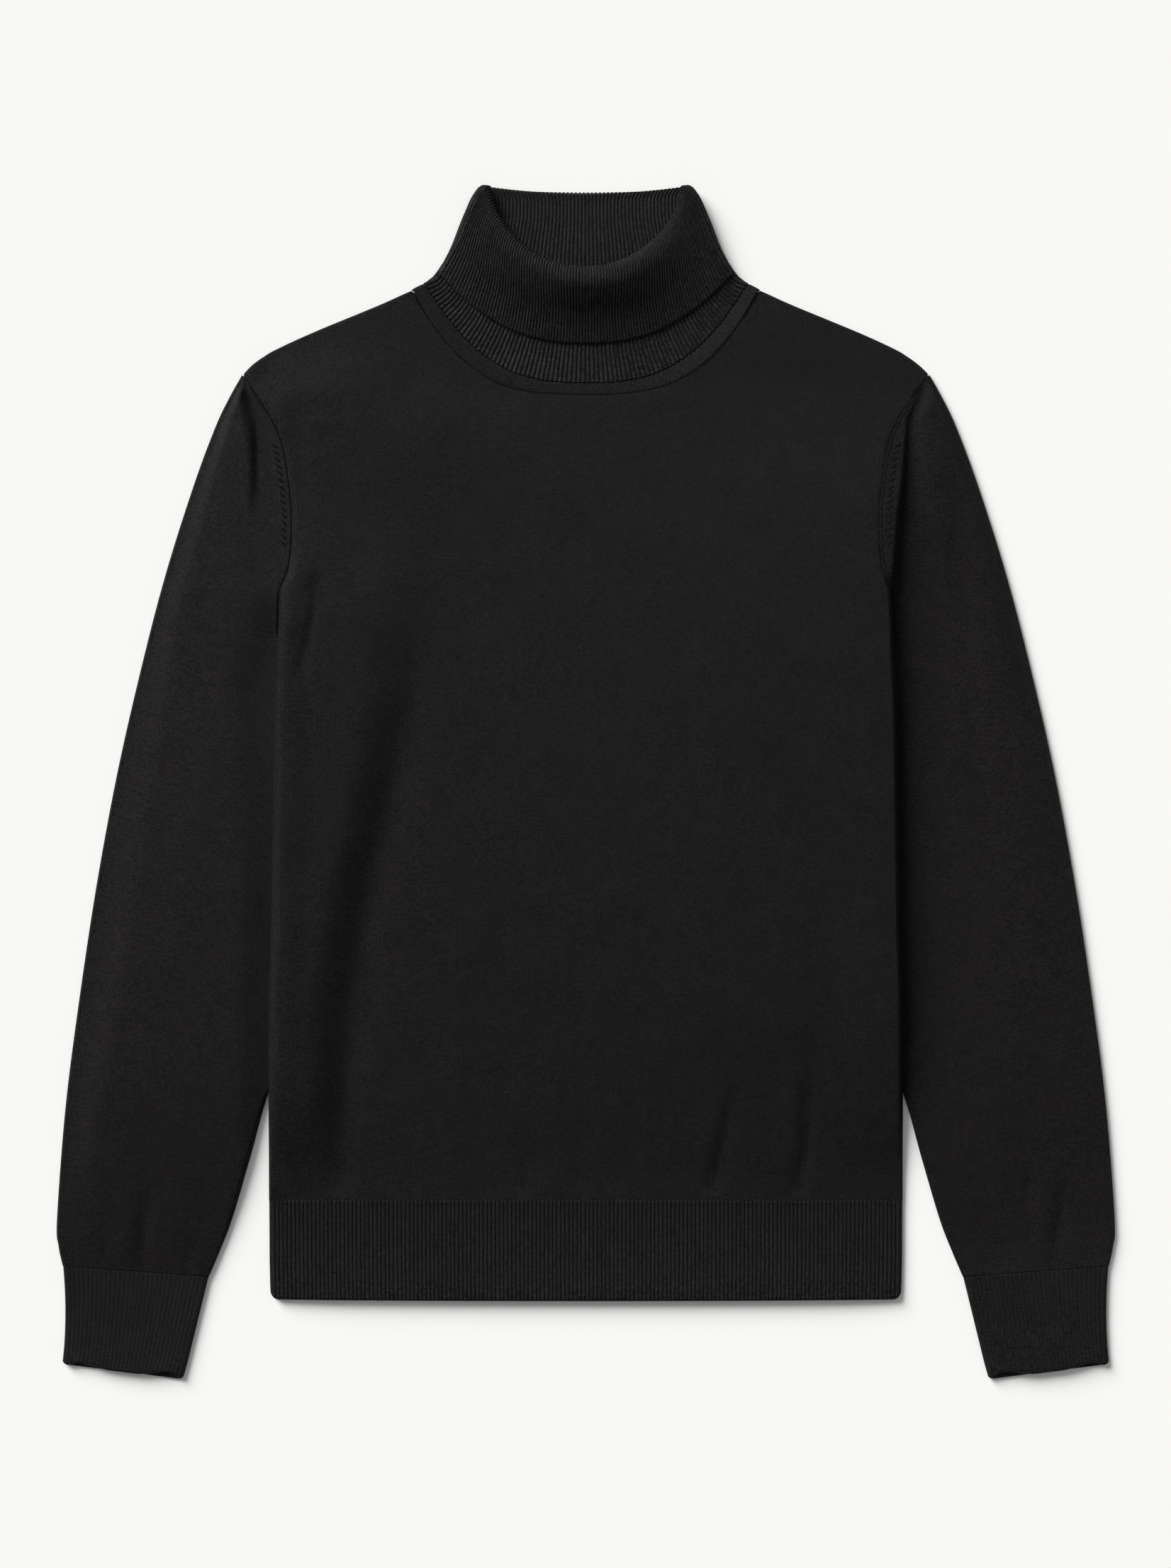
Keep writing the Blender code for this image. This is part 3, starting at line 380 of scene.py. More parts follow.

# Painted shade of the wool: soft ramps that darken each piece's colour toward one side,
# where the light falls off. Each gives a direction, the distances along it, in metres,
# between which the colour darkens, and what part of the colour is left
FRONT_PAINTED_SHADE = (((1.0, 0.0, 0.0), -0.2, 0.2, 0.78), ((0.0, -1.0, 0.0), 0.0, 0.32, 0.84),
             ((0.7, 0.7, 0.0), 0.06, 0.26, 0.87))
LEFT_PAINTED_SHADE = (((1.0, 0.0, 0.0), -0.33, -0.2, 0.86), ((0.0, -1.0, 0.0), -0.05, 0.32, 0.72))
RIGHT_PAINTED_SHADE = (((-1.0, 0.0, 0.0), -0.34, -0.21, 0.72), ((0.0, -1.0, 0.0), -0.05, 0.32, 0.78))
CUFF_PAINTED_SHADE = (((-1.0, 0.0, 0.0), -0.3, 0.3, 0.76), ((0.0, 1.0, 0.0), -0.39, -0.33, 0.84))
HEM_PAINTED_SHADE = (((0.0, 1.0, 0.0), -0.345, -0.28, 0.8),)

# Wools: material, darkest colour, warm and cool light colours, relief of the yarn, power
# that paints the furrows between ribs darker as painted shade, and ramps of painted shade
WOOLS = dict(
    body=("merino_plain_knit", "#040304", "#201b1d", "#1d1b1c", 0.25, 0.0, FRONT_PAINTED_SHADE),
    left=("merino_left_sleeve", "#040304", "#221c1f", "#1f1d1e", 0.25, 0.0, LEFT_PAINTED_SHADE),
    right=("merino_right_sleeve", "#040304", "#231d20", "#201e1f", 0.25, 0.0, RIGHT_PAINTED_SHADE),
    # the collar's yarn has lighter colours than the hem's and the cuffs', though all are the same
    # rib yarn: painted light, brighter toward the top
    collar=("merino_collar_rib", "#060606", "#2f2c2d", "#2d2e2d", 0.25, 0.5, ()),
    hem=("merino_hem_rib", "#050505", "#282526", "#262625", 0.25, 0.5, HEM_PAINTED_SHADE),
    cuff=("merino_cuff_rib", "#050505", "#252122", "#222221", 0.25, 0.2, CUFF_PAINTED_SHADE),
    band=("merino_linked_band", "#040404", "#251f21", "#222021", 0.3, 0.0, ()),
    # near-black yarn of the shaping marks and the armholes' linking: painted shadow of the holes
    # and along the seams
    stitch=("merino_painted_shadow_stitch", "#030303", "#080707", "#080707", 0.3, 0.0, ()),
)
WOOL_SHEEN = "#b9b4b2"
WOOL_SHADER = {"Roughness": 0.55, "IOR": 1.45, "Specular IOR Level": 0.16,
               "Sheen Weight": 0.03, "Sheen Roughness": 0.5}

# Pieces: slot, wool, width, length and area of the flat cut in metres, and how it lies
PIECES = {
    "front": ("jersey_knit", "body", 0.455, 0.604, 0.252, "laid"),
    "back": ("jersey_knit", "body", 0.455, 0.604, 0.262, "laid"),
    "hem_rib_front": ("rib_knit", "hem", 0.421, 0.066, 0.0275, "laid"),
    "hem_rib_back": ("rib_knit", "hem", 0.421, 0.066, 0.0275, "laid"),
    "sleeve_left": ("jersey_knit", "left", 0.292, 0.615, 0.129, "laid"),
    "sleeve_right": ("jersey_knit", "right", 0.292, 0.615, 0.129, "laid"),
    "cuff_left": ("rib_knit", "cuff", 0.190, 0.069, 0.0121, "laid"),
    "cuff_right": ("rib_knit", "cuff", 0.190, 0.069, 0.0121, "laid"),
    "collar": ("rib_knit", "collar", 0.430, 0.142, 0.0560, "folded"),
    "neck_band": ("band_knit", "band", 0.520, 0.010, 0.0050, "folded"),
}

# Unevenness of the yarn: what it follows, its scale and its detail
UNEVENNESS = dict(
    hairs=("place", 1700.0, 3.0),
    flecks=("place", 760.0, 3.0),        # of a twist that is thick and thin by turns
    streaks=("drawn_out", 1.0, 2.0),     # of the same along the courses
    patches=("place", 80.0, 4.0),
    dye=("place", 70.0, 4.0),
)
DRAWN_OUT = (0.22, 0.85, 1.0)            # how the streaks lie on the stitches
STITCH_DRIFT = (0.5, 0.7, 0.0)           # how far stitches stray, as parts of one

# A stitch worked out from its place in wales and courses, a V of two legs: each step's
# name, its operation and its terms
STITCH_STEPS = (
    ("in_wale", "FRACT", "wales"),
    ("beside", "SUBTRACT", "in_wale", 0.5),
    ("across", "ABSOLUTE", "beside"),
    ("leg_turn", "MULTIPLY", "across", 2 * np.pi),
    ("leg", "SINE", "leg_turn"),
    ("full_leg", "POWER", "leg", 0.7),
    ("lean", "MULTIPLY", "across", 1.3),
    ("climb", "SUBTRACT", "courses", "lean"),
    ("in_course", "FRACT", "climb"),
    ("loop_turn", "MULTIPLY", "in_course", np.pi),
    ("loop", "SINE", "loop_turn"),
    ("full_loop", "POWER", "loop", 0.8),
    ("thread", "MULTIPLY_ADD", "full_loop", 0.6, 0.4),
    ("stitch", "MULTIPLY", "full_leg", "thread"),
    ("fuzz", "MULTIPLY", "hairs", 0.7),
    ("height", "ADD", "stitch", "fuzz"),
)
# And the furrow between two ribs, which is two wales wide, painted darker in colour as painted
# shade
PAINTED_FURROW_SHADE_STEPS = (
    ("half_wales", "MULTIPLY", "even_wales", 0.5),
    ("ribs_along", "ADD", "half_wales", 0.25),
    ("in_rib", "FRACT", "ribs_along"),
    ("rib_turn", "MULTIPLY", "in_rib", np.pi),
    ("rib", "SINE", "rib_turn"),
    ("painted_furrow_shade", "POWER", "rib", "ribs"),
    ("shade", "MULTIPLY", "shade", "painted_furrow_shade"),
)
# What makes the yarn lighter or darker: each value's middle and its weight. The stitch's
# share paints the holes between its legs darker, as painted shade; flecks, streaks and
# patches are uneven yarn
TONES = dict(stitch=(0.6, 0.6), flecks=(0.5, 4.8), streaks=(0.5, 1.4), patches=(0.5, 0.7))


# ---- numbers and curves ---------------------------------------------------------

def smooth(low, high, value):
    """0 below low, 1 above high, and an easy rise between them."""
    part = np.clip((np.asarray(value, float) - low) / (high - low), 0.0, 1.0)
    return part * part * (3.0 - 2.0 * part)


def unit(vectors):
    """The same vectors at length 1."""
    return vectors / np.maximum(np.linalg.norm(vectors, axis=-1, keepdims=True), 1e-9)


def fine_line(points, count):
    """A smooth line of that many points through a few, with all of their columns."""
    points = np.asarray(points, float)
    padded = np.vstack([2 * points[0] - points[1], points, 2 * points[-1] - points[-2]])
    places = np.linspace(0.0, len(points) - 1.0, count)
    first = np.minimum(places.astype(int), len(points) - 2)
    t = (places - first)[:, None]
    a, b, c, d = (padded[first + step] for step in range(4))
    return 0.5 * (2 * b + (c - a) * t + (2 * a - 5 * b + 4 * c - d) * t ** 2
                  + (3 * b - a - 3 * c + d) * t ** 3)


def table_line(table):
    """A table's x and y columns as a fine, smooth line."""
    return fine_line(np.stack([table["x"], table["y"]], axis=1), LINE_POINTS)


def lengths(line):
    """How far each point of a line lies from its start, along it."""
    steps = np.linalg.norm(np.diff(line, axis=0), axis=1)
    return np.concatenate([[0.0], np.cumsum(steps)])


def at_lengths(line, marks):
    """Points of a line at distances along it."""
    length = lengths(line)
    return np.stack([np.interp(marks, length, column) for column in line.T], axis=1)


def at_heights(line, heights):
    """x of a line at heights, where it only rises or only falls."""
    order = np.argsort(line[:, 1])
    return np.interp(heights, line[order, 1], line[order, 0])


def between_knots(knots, values, places):
    """A smooth curve through values at knots that lie unevenly, read at places."""
    knots = np.asarray(knots, float)
    values = np.asarray(values, float)
    gaps = np.diff(knots)
    slopes = np.diff(values) / gaps
    inner = (slopes[:-1] * gaps[1:] + slopes[1:] * gaps[:-1]) / (gaps[:-1] + gaps[1:])
    tangents = np.concatenate([slopes[:1], inner, slopes[-1:]])
    index = np.clip(np.searchsorted(knots, places, side="right") - 1, 0, len(gaps) - 1)
    gap = gaps[index]
    t = (places - knots[index]) / gap
    return ((1 + 2 * t) * (1 - t) ** 2 * values[index]
            + t * (1 - t) ** 2 * gap * tangents[index]
            + t ** 2 * (3 - 2 * t) * values[index + 1]
            - t ** 2 * (1 - t) * gap * tangents[index + 1])


def sideways(line):
    """Unit directions in plan, square to a line and to its right."""
    along = unit(np.gradient(line, axis=0))
    return np.stack([along[:, 1], -along[:, 0]], axis=1)


def bend(part, turn):
    """How far out and down a strip reaches, at a part of its width, where it turns."""
    length = EDGE_STRIP * part
    half = turn * part / 2
    return length * np.sinc(2 * half / np.pi), length * half * np.sinc(half / np.pi) ** 2


def corner_cut(inset, radius):
    """How far a rounded corner draws back, at a distance inside the edge."""
    part = np.clip(1.0 - inset / radius, 0.0, 1.0)
    return radius * (1.0 - np.sqrt(1.0 - part ** 2))


# ---- heights --------------------------------------------------------------------

def body_half(y):
    """The body's half width at a height."""
    return np.interp(y, BODY_SIDE["y"], BODY_SIDE["half"])


def body_lift(x, y, wide=1.0, more=0.0):
    """How far the body is raised by the sleeves that are tucked below its sides.

    wide is how much wider the step on the right is than the table's, and more how much
    higher the left side is raised.
    """
    heights = TUCK_STEP["y"]
    left = x < 0.0
    middle = np.where(left, np.interp(y, heights, TUCK_STEP["left"]),
                      np.interp(y, heights, TUCK_STEP["right"]))
    width = np.where(left, np.interp(y, heights, TUCK_STEP["left_width"]),
                     np.interp(y, heights, TUCK_STEP["right_width"]) * wide)
    across = smooth(-0.5, 0.5, (np.abs(x) - middle) / width)
    end = np.where(left, smooth(*TUCK_END["left"], y), smooth(*TUCK_END["right"], y))
    return (TUCK_LIFT + more * left) * across * smooth(*TUCK_START, y) * (1.0 - end)


def sleeve_lift(x, y, name):
    """How far a sleeve is raised near the underarm, where it meets the body."""
    down = smooth(*TUCK_NECK, y) * (1.0 - smooth(*TUCK_END[name], y))
    if name == "left":
        early = smooth(*TUCK_EARLY, y) * smooth(*TUCK_BESIDE, x - body_half(y))
        down = np.where(y < TUCK_NECK[1], np.maximum(down, early), down)
        return TUCK_LIFT * down * (1.0 - smooth(*TUCK_REACH, x))
    return TUCK_LIFT * down * before_valley(x, y)


def before_valley(x, y):
    """1 on the body's side of the right sleeve's sharp fold, and 0 beyond it."""
    line = VALLEYS["right"]
    return 1.0 - smooth(-VALLEY_STEP, VALLEY_STEP, x - np.interp(y, line["y"], line["x"]))


def right_fullness(y):
    """How high the right side's fullness runs over the armhole's seam."""
    right = SIDE_FULLNESS[1]
    return right["height"] * (smooth(*FULLNESS_OVER, y) * (1.0 - smooth(*right["end"], y)))


def creased(x, y, creases):
    """Height of ridges and troughs at places. Each crease is a few points of a line."""
    place = np.stack([x.ravel(), y.ravel()], axis=1)
    height = np.zeros(len(place))
    for crease in creases:
        line = fine_line(crease, CREASE_STEPS)
        reach = CREASE_REACH * line[:, 2].max()
        near = ((place > line[:, :2].min(axis=0) - reach)
                & (place < line[:, :2].max(axis=0) + reach)).all(axis=1)
        apart = ((place[near, None] - line[None, :, :2]) ** 2).sum(axis=2)
        closest = apart.argmin(axis=1)
        rise = line[closest, 3] * np.exp(-apart.min(axis=1) / line[closest, 2] ** 2)
        height[near] += rise
    return height.reshape(x.shape)


def seam_line(line, half_width, height):
    """A crease of even width and height along a line in plan."""
    size = np.full((len(line), 2), (half_width, height))
    return np.hstack([line[:, :2], size])


def waves(x, y):
    """The slow unevenness of the cloth."""
    height = np.zeros(x.shape)
    for number, (length, angle, rise) in enumerate(zip(*WAVES.values())):
        turn = 2 * np.pi / length
        run = x * np.cos(angle) + y * np.sin(angle)
        cross = y * np.cos(angle) - x * np.sin(angle)
        height += (rise * np.sin(run * turn + number)
                   * np.cos(cross * turn * WAVE_ACROSS + 2 * number))
    return height


# ---- walls ----------------------------------------------------------------------

def normals(grid, closed):
    """Unit directions square to a fine grid of points."""
    if closed:
        across = np.roll(grid, -1, axis=1) - np.roll(grid, 1, axis=1)
    else:
        across = np.gradient(grid, axis=1)
    return unit(np.cross(across, np.gradient(grid, axis=0)))


def rolled(grid, row, beyond):
    """Draws an end row back, and returns the row that its edge then bulges out to."""
    step = unit(grid[row] - grid[beyond])
    edge = grid[row].copy()
    grid[row] = edge - step * ROLL
    return edge


def grid_faces(rows, columns, first, closed):
    """The numbers of the corners of each face of a grid of vertices."""
    row, column = np.mgrid[:rows - 1, :columns if closed else columns - 1]
    after = (column + 1) % columns
    corners = (row * columns + column, row * columns + after,
               (row + 1) * columns + after, (row + 1) * columns + column)
    return first + np.stack(corners, axis=-1).reshape(-1, 4)


def grid_corners(stitches):
    """The stitch counts at the corners of the same faces."""
    corners = (stitches[:-1, :-1], stitches[:-1, 1:], stitches[1:, 1:], stitches[1:, :-1])
    return np.stack(corners, axis=-2).reshape(-1, 2)


def wall(name, outside, inside, stitches, kept_rows, kept_columns, closed=False):
    """A closed wall of knit between two grids, the inside with fewer rows and columns.

    stitches has a column more than a grid that is closed round.
    """
    rows, columns = outside.shape[:2]
    kept_rows, kept_columns = list(kept_rows), list(kept_columns)
    inner = inside[kept_rows][:, kept_columns]
    uv_columns = kept_columns + [columns] if closed else kept_columns
    faces = [grid_faces(rows, columns, 0, closed),
             grid_faces(*inner.shape[:2], rows * columns, closed)]
    corners = [grid_corners(stitches), grid_corners(stitches[kept_rows][:, uv_columns])]

    # the edges, from one kept row or column to the next
    def outer(row, column):
        return row * columns + column % columns

    def within(row, column):
        return rows * columns + row * len(kept_columns) + column % len(kept_columns)

    rims, rim_corners = [], []
    for row, inner_row in ((0, 0), (rows - 1, len(kept_rows) - 1)):
        for step, (low, high) in enumerate(zip(uv_columns[:-1], uv_columns[1:])):
            run = range(low, high + 1)
            rims.append([outer(row, column) for column in run]
                        + [within(inner_row, step + 1), within(inner_row, step)])
            rim_corners += [stitches[row, column] for column in (*run, high, low)]
    if not closed:
        for column, inner_column in ((0, 0), (columns - 1, len(kept_columns) - 1)):
            for step, (low, high) in enumerate(zip(kept_rows[:-1], kept_rows[1:])):
                run = range(low, high + 1)
                rims.append([outer(row, column) for row in run]
                            + [within(step + 1, inner_column), within(step, inner_column)])
                rim_corners += [stitches[row, column] for row in (*run, high, low)]

    points = np.vstack([outside.reshape(-1, 3), inner.reshape(-1, 3)]) * MM
    mesh = bpy.data.meshes.new(name)
    mesh.from_pydata(points.tolist(), [], [*faces[0].tolist(), *faces[1].tolist(), *rims])
    layer = mesh.uv_layers.new(name="stitches")
    layer.data.foreach_set("uv", np.vstack([*corners, rim_corners]).ravel())
    return finish_piece(name, mesh)


def finish_piece(name, mesh):
    """Turns a closed mesh into a piece of the garment, its faces outwards and smooth."""
    shell = bmesh.new()
    shell.from_mesh(mesh)
    bmesh.ops.recalc_face_normals(shell, faces=shell.faces)
    shell.to_mesh(mesh)
    shell.free()
    mesh.shade_smooth()
    mesh.set_sharp_from_angle(angle=SHARP_EDGE)
    piece = bpy.data.objects.new(name, mesh)
    bpy.context.scene.collection.objects.link(piece)
    return piece


def every(count, step):
    """Numbers from 0 to the last, which is kept, one for each step."""
    return sorted({*range(0, count, step), count - 1})


def cloth(name, grid, side, stitches, rise=0.0, kept=INSIDE_STEPS, rolls=(False, False)):
    """A wall of knit round a grid, its outside towards side, 1 or -1 on its normals.

    rise is the relief of the outside, kept the steps of the inside's rows and columns,
    and rolls says whether the first and the last row bulge out as free edges do.
    """
    grid = grid.copy()
    edges = [rolled(grid, row, beyond) if wanted else None
             for wanted, row, beyond in zip(rolls, (0, -1), (1, -2))]
    out = normals(grid, False) * side
    relief = rise * smooth(*RIB_FADE, out[..., 2])
    outside = grid + out * (JERSEY / 2 + relief)[..., None]
    inside = grid - out * JERSEY / 2
    rows = every(len(grid), kept[0])
    if rolls[0]:
        outside = np.concatenate([edges[0][None], outside])
        inside = np.concatenate([inside[:1], inside])
        stitches = np.concatenate([stitches[:1], stitches])
        rows = [0] + [row + 1 for row in rows[1:]]
    if rolls[1]:
        outside = np.concatenate([outside, edges[1][None]])
        inside = np.concatenate([inside, inside[-1:]])
        stitches = np.concatenate([stitches, stitches[-1:]])
        rows = rows[:-1] + [len(outside) - 1]
    return wall(name, outside, inside, stitches, rows, every(grid.shape[1], kept[1]))


def counts(grid, first_column=0, first_row=0):
    """Stitch counts of a grid, along its middle rows and columns, from a column's start."""
    across = np.linalg.norm(np.diff(grid, axis=1), axis=2)
    across = np.hstack([np.zeros((len(grid), 1)), np.cumsum(across, axis=1)])
    across -= across[:, first_column, None]
    along = np.linalg.norm(np.diff(grid, axis=0), axis=2)
    along = np.vstack([np.zeros((1, grid.shape[1])), np.cumsum(along, axis=0)])
    along = np.repeat(along[:, first_column, None], grid.shape[1], axis=1)
    return np.dstack([across / WALE, (along - along[first_row, 0]) / COURSE])


# ---- body -----------------------------------------------------------------------

def band_edge(parts, edge, front, out):
    """Points of an edge of the neck band at parts of its half width, moved outward."""
    middle = BAND["front_y" if front else "back_y"][edge]
    rise = BAND["corner_y"][edge] - middle
    height = middle + rise * parts ** BAND["power"][edge]
    half = BAND["half"][edge] - BAND_TURN * (1.0 - parts ** BAND_TURN_POWER)
    return np.stack([(half + out) * parts, height - out], axis=1)


def side_edge(heights):
    """A panel's right edge: outermost middle points, outward directions and turns."""
    below = heights < UNDERARM - SEAM_GAP
    seam = table_line(ARMHOLE)
    edge = np.stack([np.where(below, body_half(heights), at_heights(seam, heights)),
                     heights], axis=1)
    across = np.interp(heights, seam[:, 1], sideways(seam)[:, 0])
    upward = np.interp(heights, seam[:, 1], sideways(seam)[:, 1])
    out = np.where(below[:, None], (1.0, 0.0), np.stack([across, upward], axis=1))
    inset = np.where(below, JERSEY / 2, SEAM_GAP / 2)
    return edge - out * inset[:, None], out, np.where(below, EDGE_BEND, SEAM_BEND)


def top_edge(front, parts):
    """A panel's right top edge, from the neck's middle to the tip, as side_edge."""
    at_neck = parts[parts <= NECK_PART] / NECK_PART
    neck = band_edge(at_neck, 1, front, NECK_GAP)
    line = table_line(SHOULDER)
    along = (parts[parts > NECK_PART] - NECK_PART) / (1.0 - NECK_PART)
    shoulder = at_lengths(line, along * lengths(line)[-1])
    out = np.vstack([-sideways(neck), -sideways(shoulder)])
    turns = np.where(parts > NECK_PART, EDGE_BEND, 0.0)
    turns[-1] = TIP_BEND
    edge = np.vstack([neck, shoulder])
    edge[parts > NECK_PART] -= out[parts > NECK_PART] * JERSEY / 2
    return edge, out, turns


def patch(parts, bottom, top, middle, side):
    """Points between four lines: the bottom and top, the middle and the right side."""
    u = parts[None, :, None]
    v = (middle[:, 1] - middle[0, 1]) / (middle[-1, 1] - middle[0, 1])
    v = v[:, None, None]
    return ((1 - v) * bottom[None] + v * top[None] + (1 - u) * middle[:, None]
            + u * side[:, None] - (1 - u) * (1 - v) * bottom[0]
            - u * (1 - v) * bottom[-1] - (1 - u) * v * top[0] - u * v * top[-1])


def panel_grid(front, step, side_step):
    """Middle points of the front or back, from the hem's seam to shoulders and neck."""
    start = HEM_TOP + SEAM_GAP / 2
    heights = np.linspace(start, SHOULDER_TIP, round((SHOULDER_TIP - start) / step) + 1)
    neck_columns = round(BAND["half"][1] / step)
    whole = BAND["half"][1] / NECK_PART
    side_part = 1.0 - SIDE_WIDTH / whole
    parts = np.concatenate([
        np.linspace(0.0, NECK_PART, neck_columns),
        np.linspace(NECK_PART, side_part, round((side_part - NECK_PART) * whole / step))[1:],
        np.linspace(side_part, 1.0, round(SIDE_WIDTH / side_step) + 1)[1:]])
    edge, out, turns = side_edge(heights)
    side = edge - out * bend(1.0, turns)[0][:, None]
    top_line, top_out, top_turns = top_edge(front, parts)
    top = top_line - top_out * bend(1.0, top_turns)[0][:, None]
    top[-1] = side[-1] - top_out[-1] * bend(1.0, EDGE_BEND)[0] * TIP_DRAW
    side[-1] = top[-1]

    bottom = np.stack([parts * side[0, 0], np.full(len(parts), start)], axis=1)
    share = (heights - start) / (heights[-1] - start)
    middle = np.stack([np.zeros(len(share)), start + share * (top[0, 1] - start)], axis=1)
    inner = patch(parts, bottom, top, middle, side)

    strip = len(EDGE_STEPS)
    rows, columns = inner.shape[:2]
    plan = np.zeros((rows + strip, columns + strip, 2))
    drop = np.zeros(plan.shape[:2])
    plan[:rows, :columns] = inner
    for number, part in enumerate(EDGE_STEPS):
        reach, down = bend(part, turns)
        plan[:rows, columns + number] = inner[:, -1] + out * reach[:, None]
        drop[:rows, columns + number] = down
        reach, down = bend(part, top_turns)
        plan[rows + number, :columns] = inner[-1] + top_out * reach[:, None]
        drop[rows + number, :columns] = down
    corner = plan[rows:, columns - 1, None] - inner[-1, -1]
    plan[rows:, columns:] = plan[rows - 1, None, columns:] + corner
    drop[rows:, columns:] = drop[rows:, columns - 1, None]

    plan = np.concatenate([plan[:, :0:-1] * (-1.0, 1.0), plan], axis=1)
    drop = np.concatenate([drop[:, :0:-1], drop], axis=1)
    x, y = plan[..., 0], plan[..., 1]
    if front:
        return np.dstack([plan, FRONT_LEVEL + front_relief(x, y) - drop])
    return np.dstack([plan, BACK_LEVEL + body_lift(x, y) + drop])


def fullness(x, y, side, above):
    """How full the front is at distances from its sides and below its shoulders."""
    height = np.zeros(x.shape)
    for fold in SIDE_FULLNESS:
        full = smooth(0.0, fold["rise"], side)
        if fold["half"] > 0:
            full = np.maximum(full, smooth(*FULLNESS_OVER, y))
        full *= (1.0 - smooth(fold["rise"], fold["fall"], side)) * (x * fold["half"] > 0.0)
        full *= 1.0 - (1.0 - fold["stays"]) * smooth(*fold["end"], y)
        height = np.maximum(height, fold["height"] * full)
    neck = np.hypot(x / BAND["half"][1], (BAND["corner_y"][1] - y) / NECK_DROP)
    apart = smooth(*SHOULDER_FROM, neck) * smooth(*SHOULDER_APART, np.abs(x))
    for fold in SHOULDER_FULLNESS:
        full = smooth(0.0, fold["rise"], above) * (x * fold["half"] > 0.0) * apart
        full *= 1.0 - smooth(fold["rise"], fold["fall"], above)
        height = np.maximum(height, fold["height"] * full)
    return height * smooth(HEM_TOP, HEM_TOP + FULLNESS_START, y)


def front_relief(x, y):
    """Height of the front's dome, its full edges, its folds and its seams."""
    dome = (1.0 - (x / DOME_REACH[0]) ** 2) * (1.0 - (y / DOME_REACH[1]) ** 2)
    seam = table_line(ARMHOLE)
    armhole = np.interp(y, seam[:, 1], seam[:, 0])
    side = np.where(y < UNDERARM, body_half(y), armhole) - np.abs(x)
    shoulder = table_line(SHOULDER)
    above = np.interp(np.abs(x), shoulder[:, 0], shoulder[:, 1]) - y
    edge = np.minimum(side, above)
    full = fullness(x, y, side, above)

    neck = band_edge(np.linspace(0.0, 1.0, NECKLINE_POINTS), 1, True, NECK_GAP)
    seams = [seam_line(line * (half, 1), *size) for half in (-1, 1)
             for line, size in ((seam[::SEAM_SKIP], ARMHOLE_SEAM), (neck, NECK_SEAM))]
    lift = body_lift(x, y)
    more = body_lift(x, y, TUCK_WIDE, TUCK_MORE) - lift
    folds = creased(x, y, FRONT_CREASES) + waves(x, y) + BODY_DOME * np.maximum(dome, 0.0)
    folds *= smooth(HEM_TOP, HEM_TOP + HEM_START, y)
    inside = smooth(0.0, FOLDS_START, edge)
    return lift + full + inside * (folds + more) + creased(x, y, seams)


def rib_columns(ribs):
    """Places of the columns of ribs as counted from their start, and their heights."""
    places = (np.arange(ribs)[:, None] + RIB_PLACES).ravel()
    return np.append(places, ribs), np.append(np.tile(RIB_HEIGHTS, ribs), 0.0)


def rib_relief(heights, knuckles):
    """Relief of ribs on a wall, where knuckles is how much more their ends stand up."""
    return (RIB_RISE + RIB_DEPTH + knuckles) * heights - RIB_DEPTH


def knuckles(distance):
    """How much higher a rib's rounded end stands at a distance below its seam."""
    whole, sinks = (KNUCKLE * part for part in KNUCKLE_PARTS)
    end = smooth(0.0, whole, distance)
    return (KNUCKLE_RISE * end * (1.0 - smooth(sinks, KNUCKLE, distance))
            - KNUCKLE_SINK * (1 - end))


def hem_grid(front, places):
    """Middle points of one half of the hem's rib, at places across it from 0 to 1."""
    reach = bend(1.0, EDGE_BEND)[0]
    share = np.linspace(0.0, 1.0, HEM_ROWS) ** HEM_CROWDING
    top = HEM_TOP - SEAM_GAP / 2
    heights = top + share * (HEM_END - top)
    rows = []
    for part, height in zip(share, heights):
        half = body_half(height) - JERSEY / 2 - reach
        x = (2 * places - 1) * half
        sag = HEM_DROOP * (1.0 - (x / half) ** 2)
        cut = corner_cut(half + reach - np.abs(x), HEM_CORNER)
        low = smooth(*MOUTH, part)
        row = [(across, height - part * droop + low * rise, 0.0)
               for across, droop, rise in zip(x, sag, cut)]
        for step in EDGE_STEPS:
            far, down = bend(step, EDGE_BEND)
            cut = corner_cut(reach - far, HEM_CORNER) * low
            row.insert(0, (-half - far, height + cut, down))
            row.append((half + far, height + cut, down))
        rows.append(row)
    grid = np.array(rows)
    drop = grid[..., 2].copy()
    across = np.abs(grid[..., 0] / grid[:, :1, 0])
    curl = HEM_CURL * share[:, None] ** 2 * (1.0 - across ** HEM_FLAT)
    grid[..., 2] = FRONT_LEVEL + curl - drop if front else BACK_LEVEL + drop
    return grid


def build_body():
    """The front, the back and both halves of the hem."""
    grid = panel_grid(True, PANEL_STEP, SIDE_STEP)
    made = {"front": cloth("front_knit", grid, 1, grid[..., :2] / (WALE, COURSE))}
    grid = panel_grid(False, 2 * PANEL_STEP, 2 * SIDE_STEP)
    made["back"] = cloth("back_knit", grid, -1, grid[..., :2] / (WALE, COURSE))

    strip = len(EDGE_STEPS)
    places, heights = rib_columns(HEM_RIBS)
    for front in (True, False):
        grid = hem_grid(front, places / HEM_RIBS)
        stitches = counts(grid)
        stitches[:, strip:-strip, 0] = 2 * places - 0.5
        distance = np.abs(grid[..., 1] - grid[0, :, 1])
        relief = HEM_SHARE * rib_relief(np.pad(heights, strip), knuckles(distance))
        node = "hem_rib_front" if front else "hem_rib_back"
        made[node] = cloth(node.replace("rib", "knit"), grid, -1 if front else 1, stitches,
                           relief, RIB_INSIDE_STEPS, (False, True))
    return made


# ---- sleeves --------------------------------------------------------------------

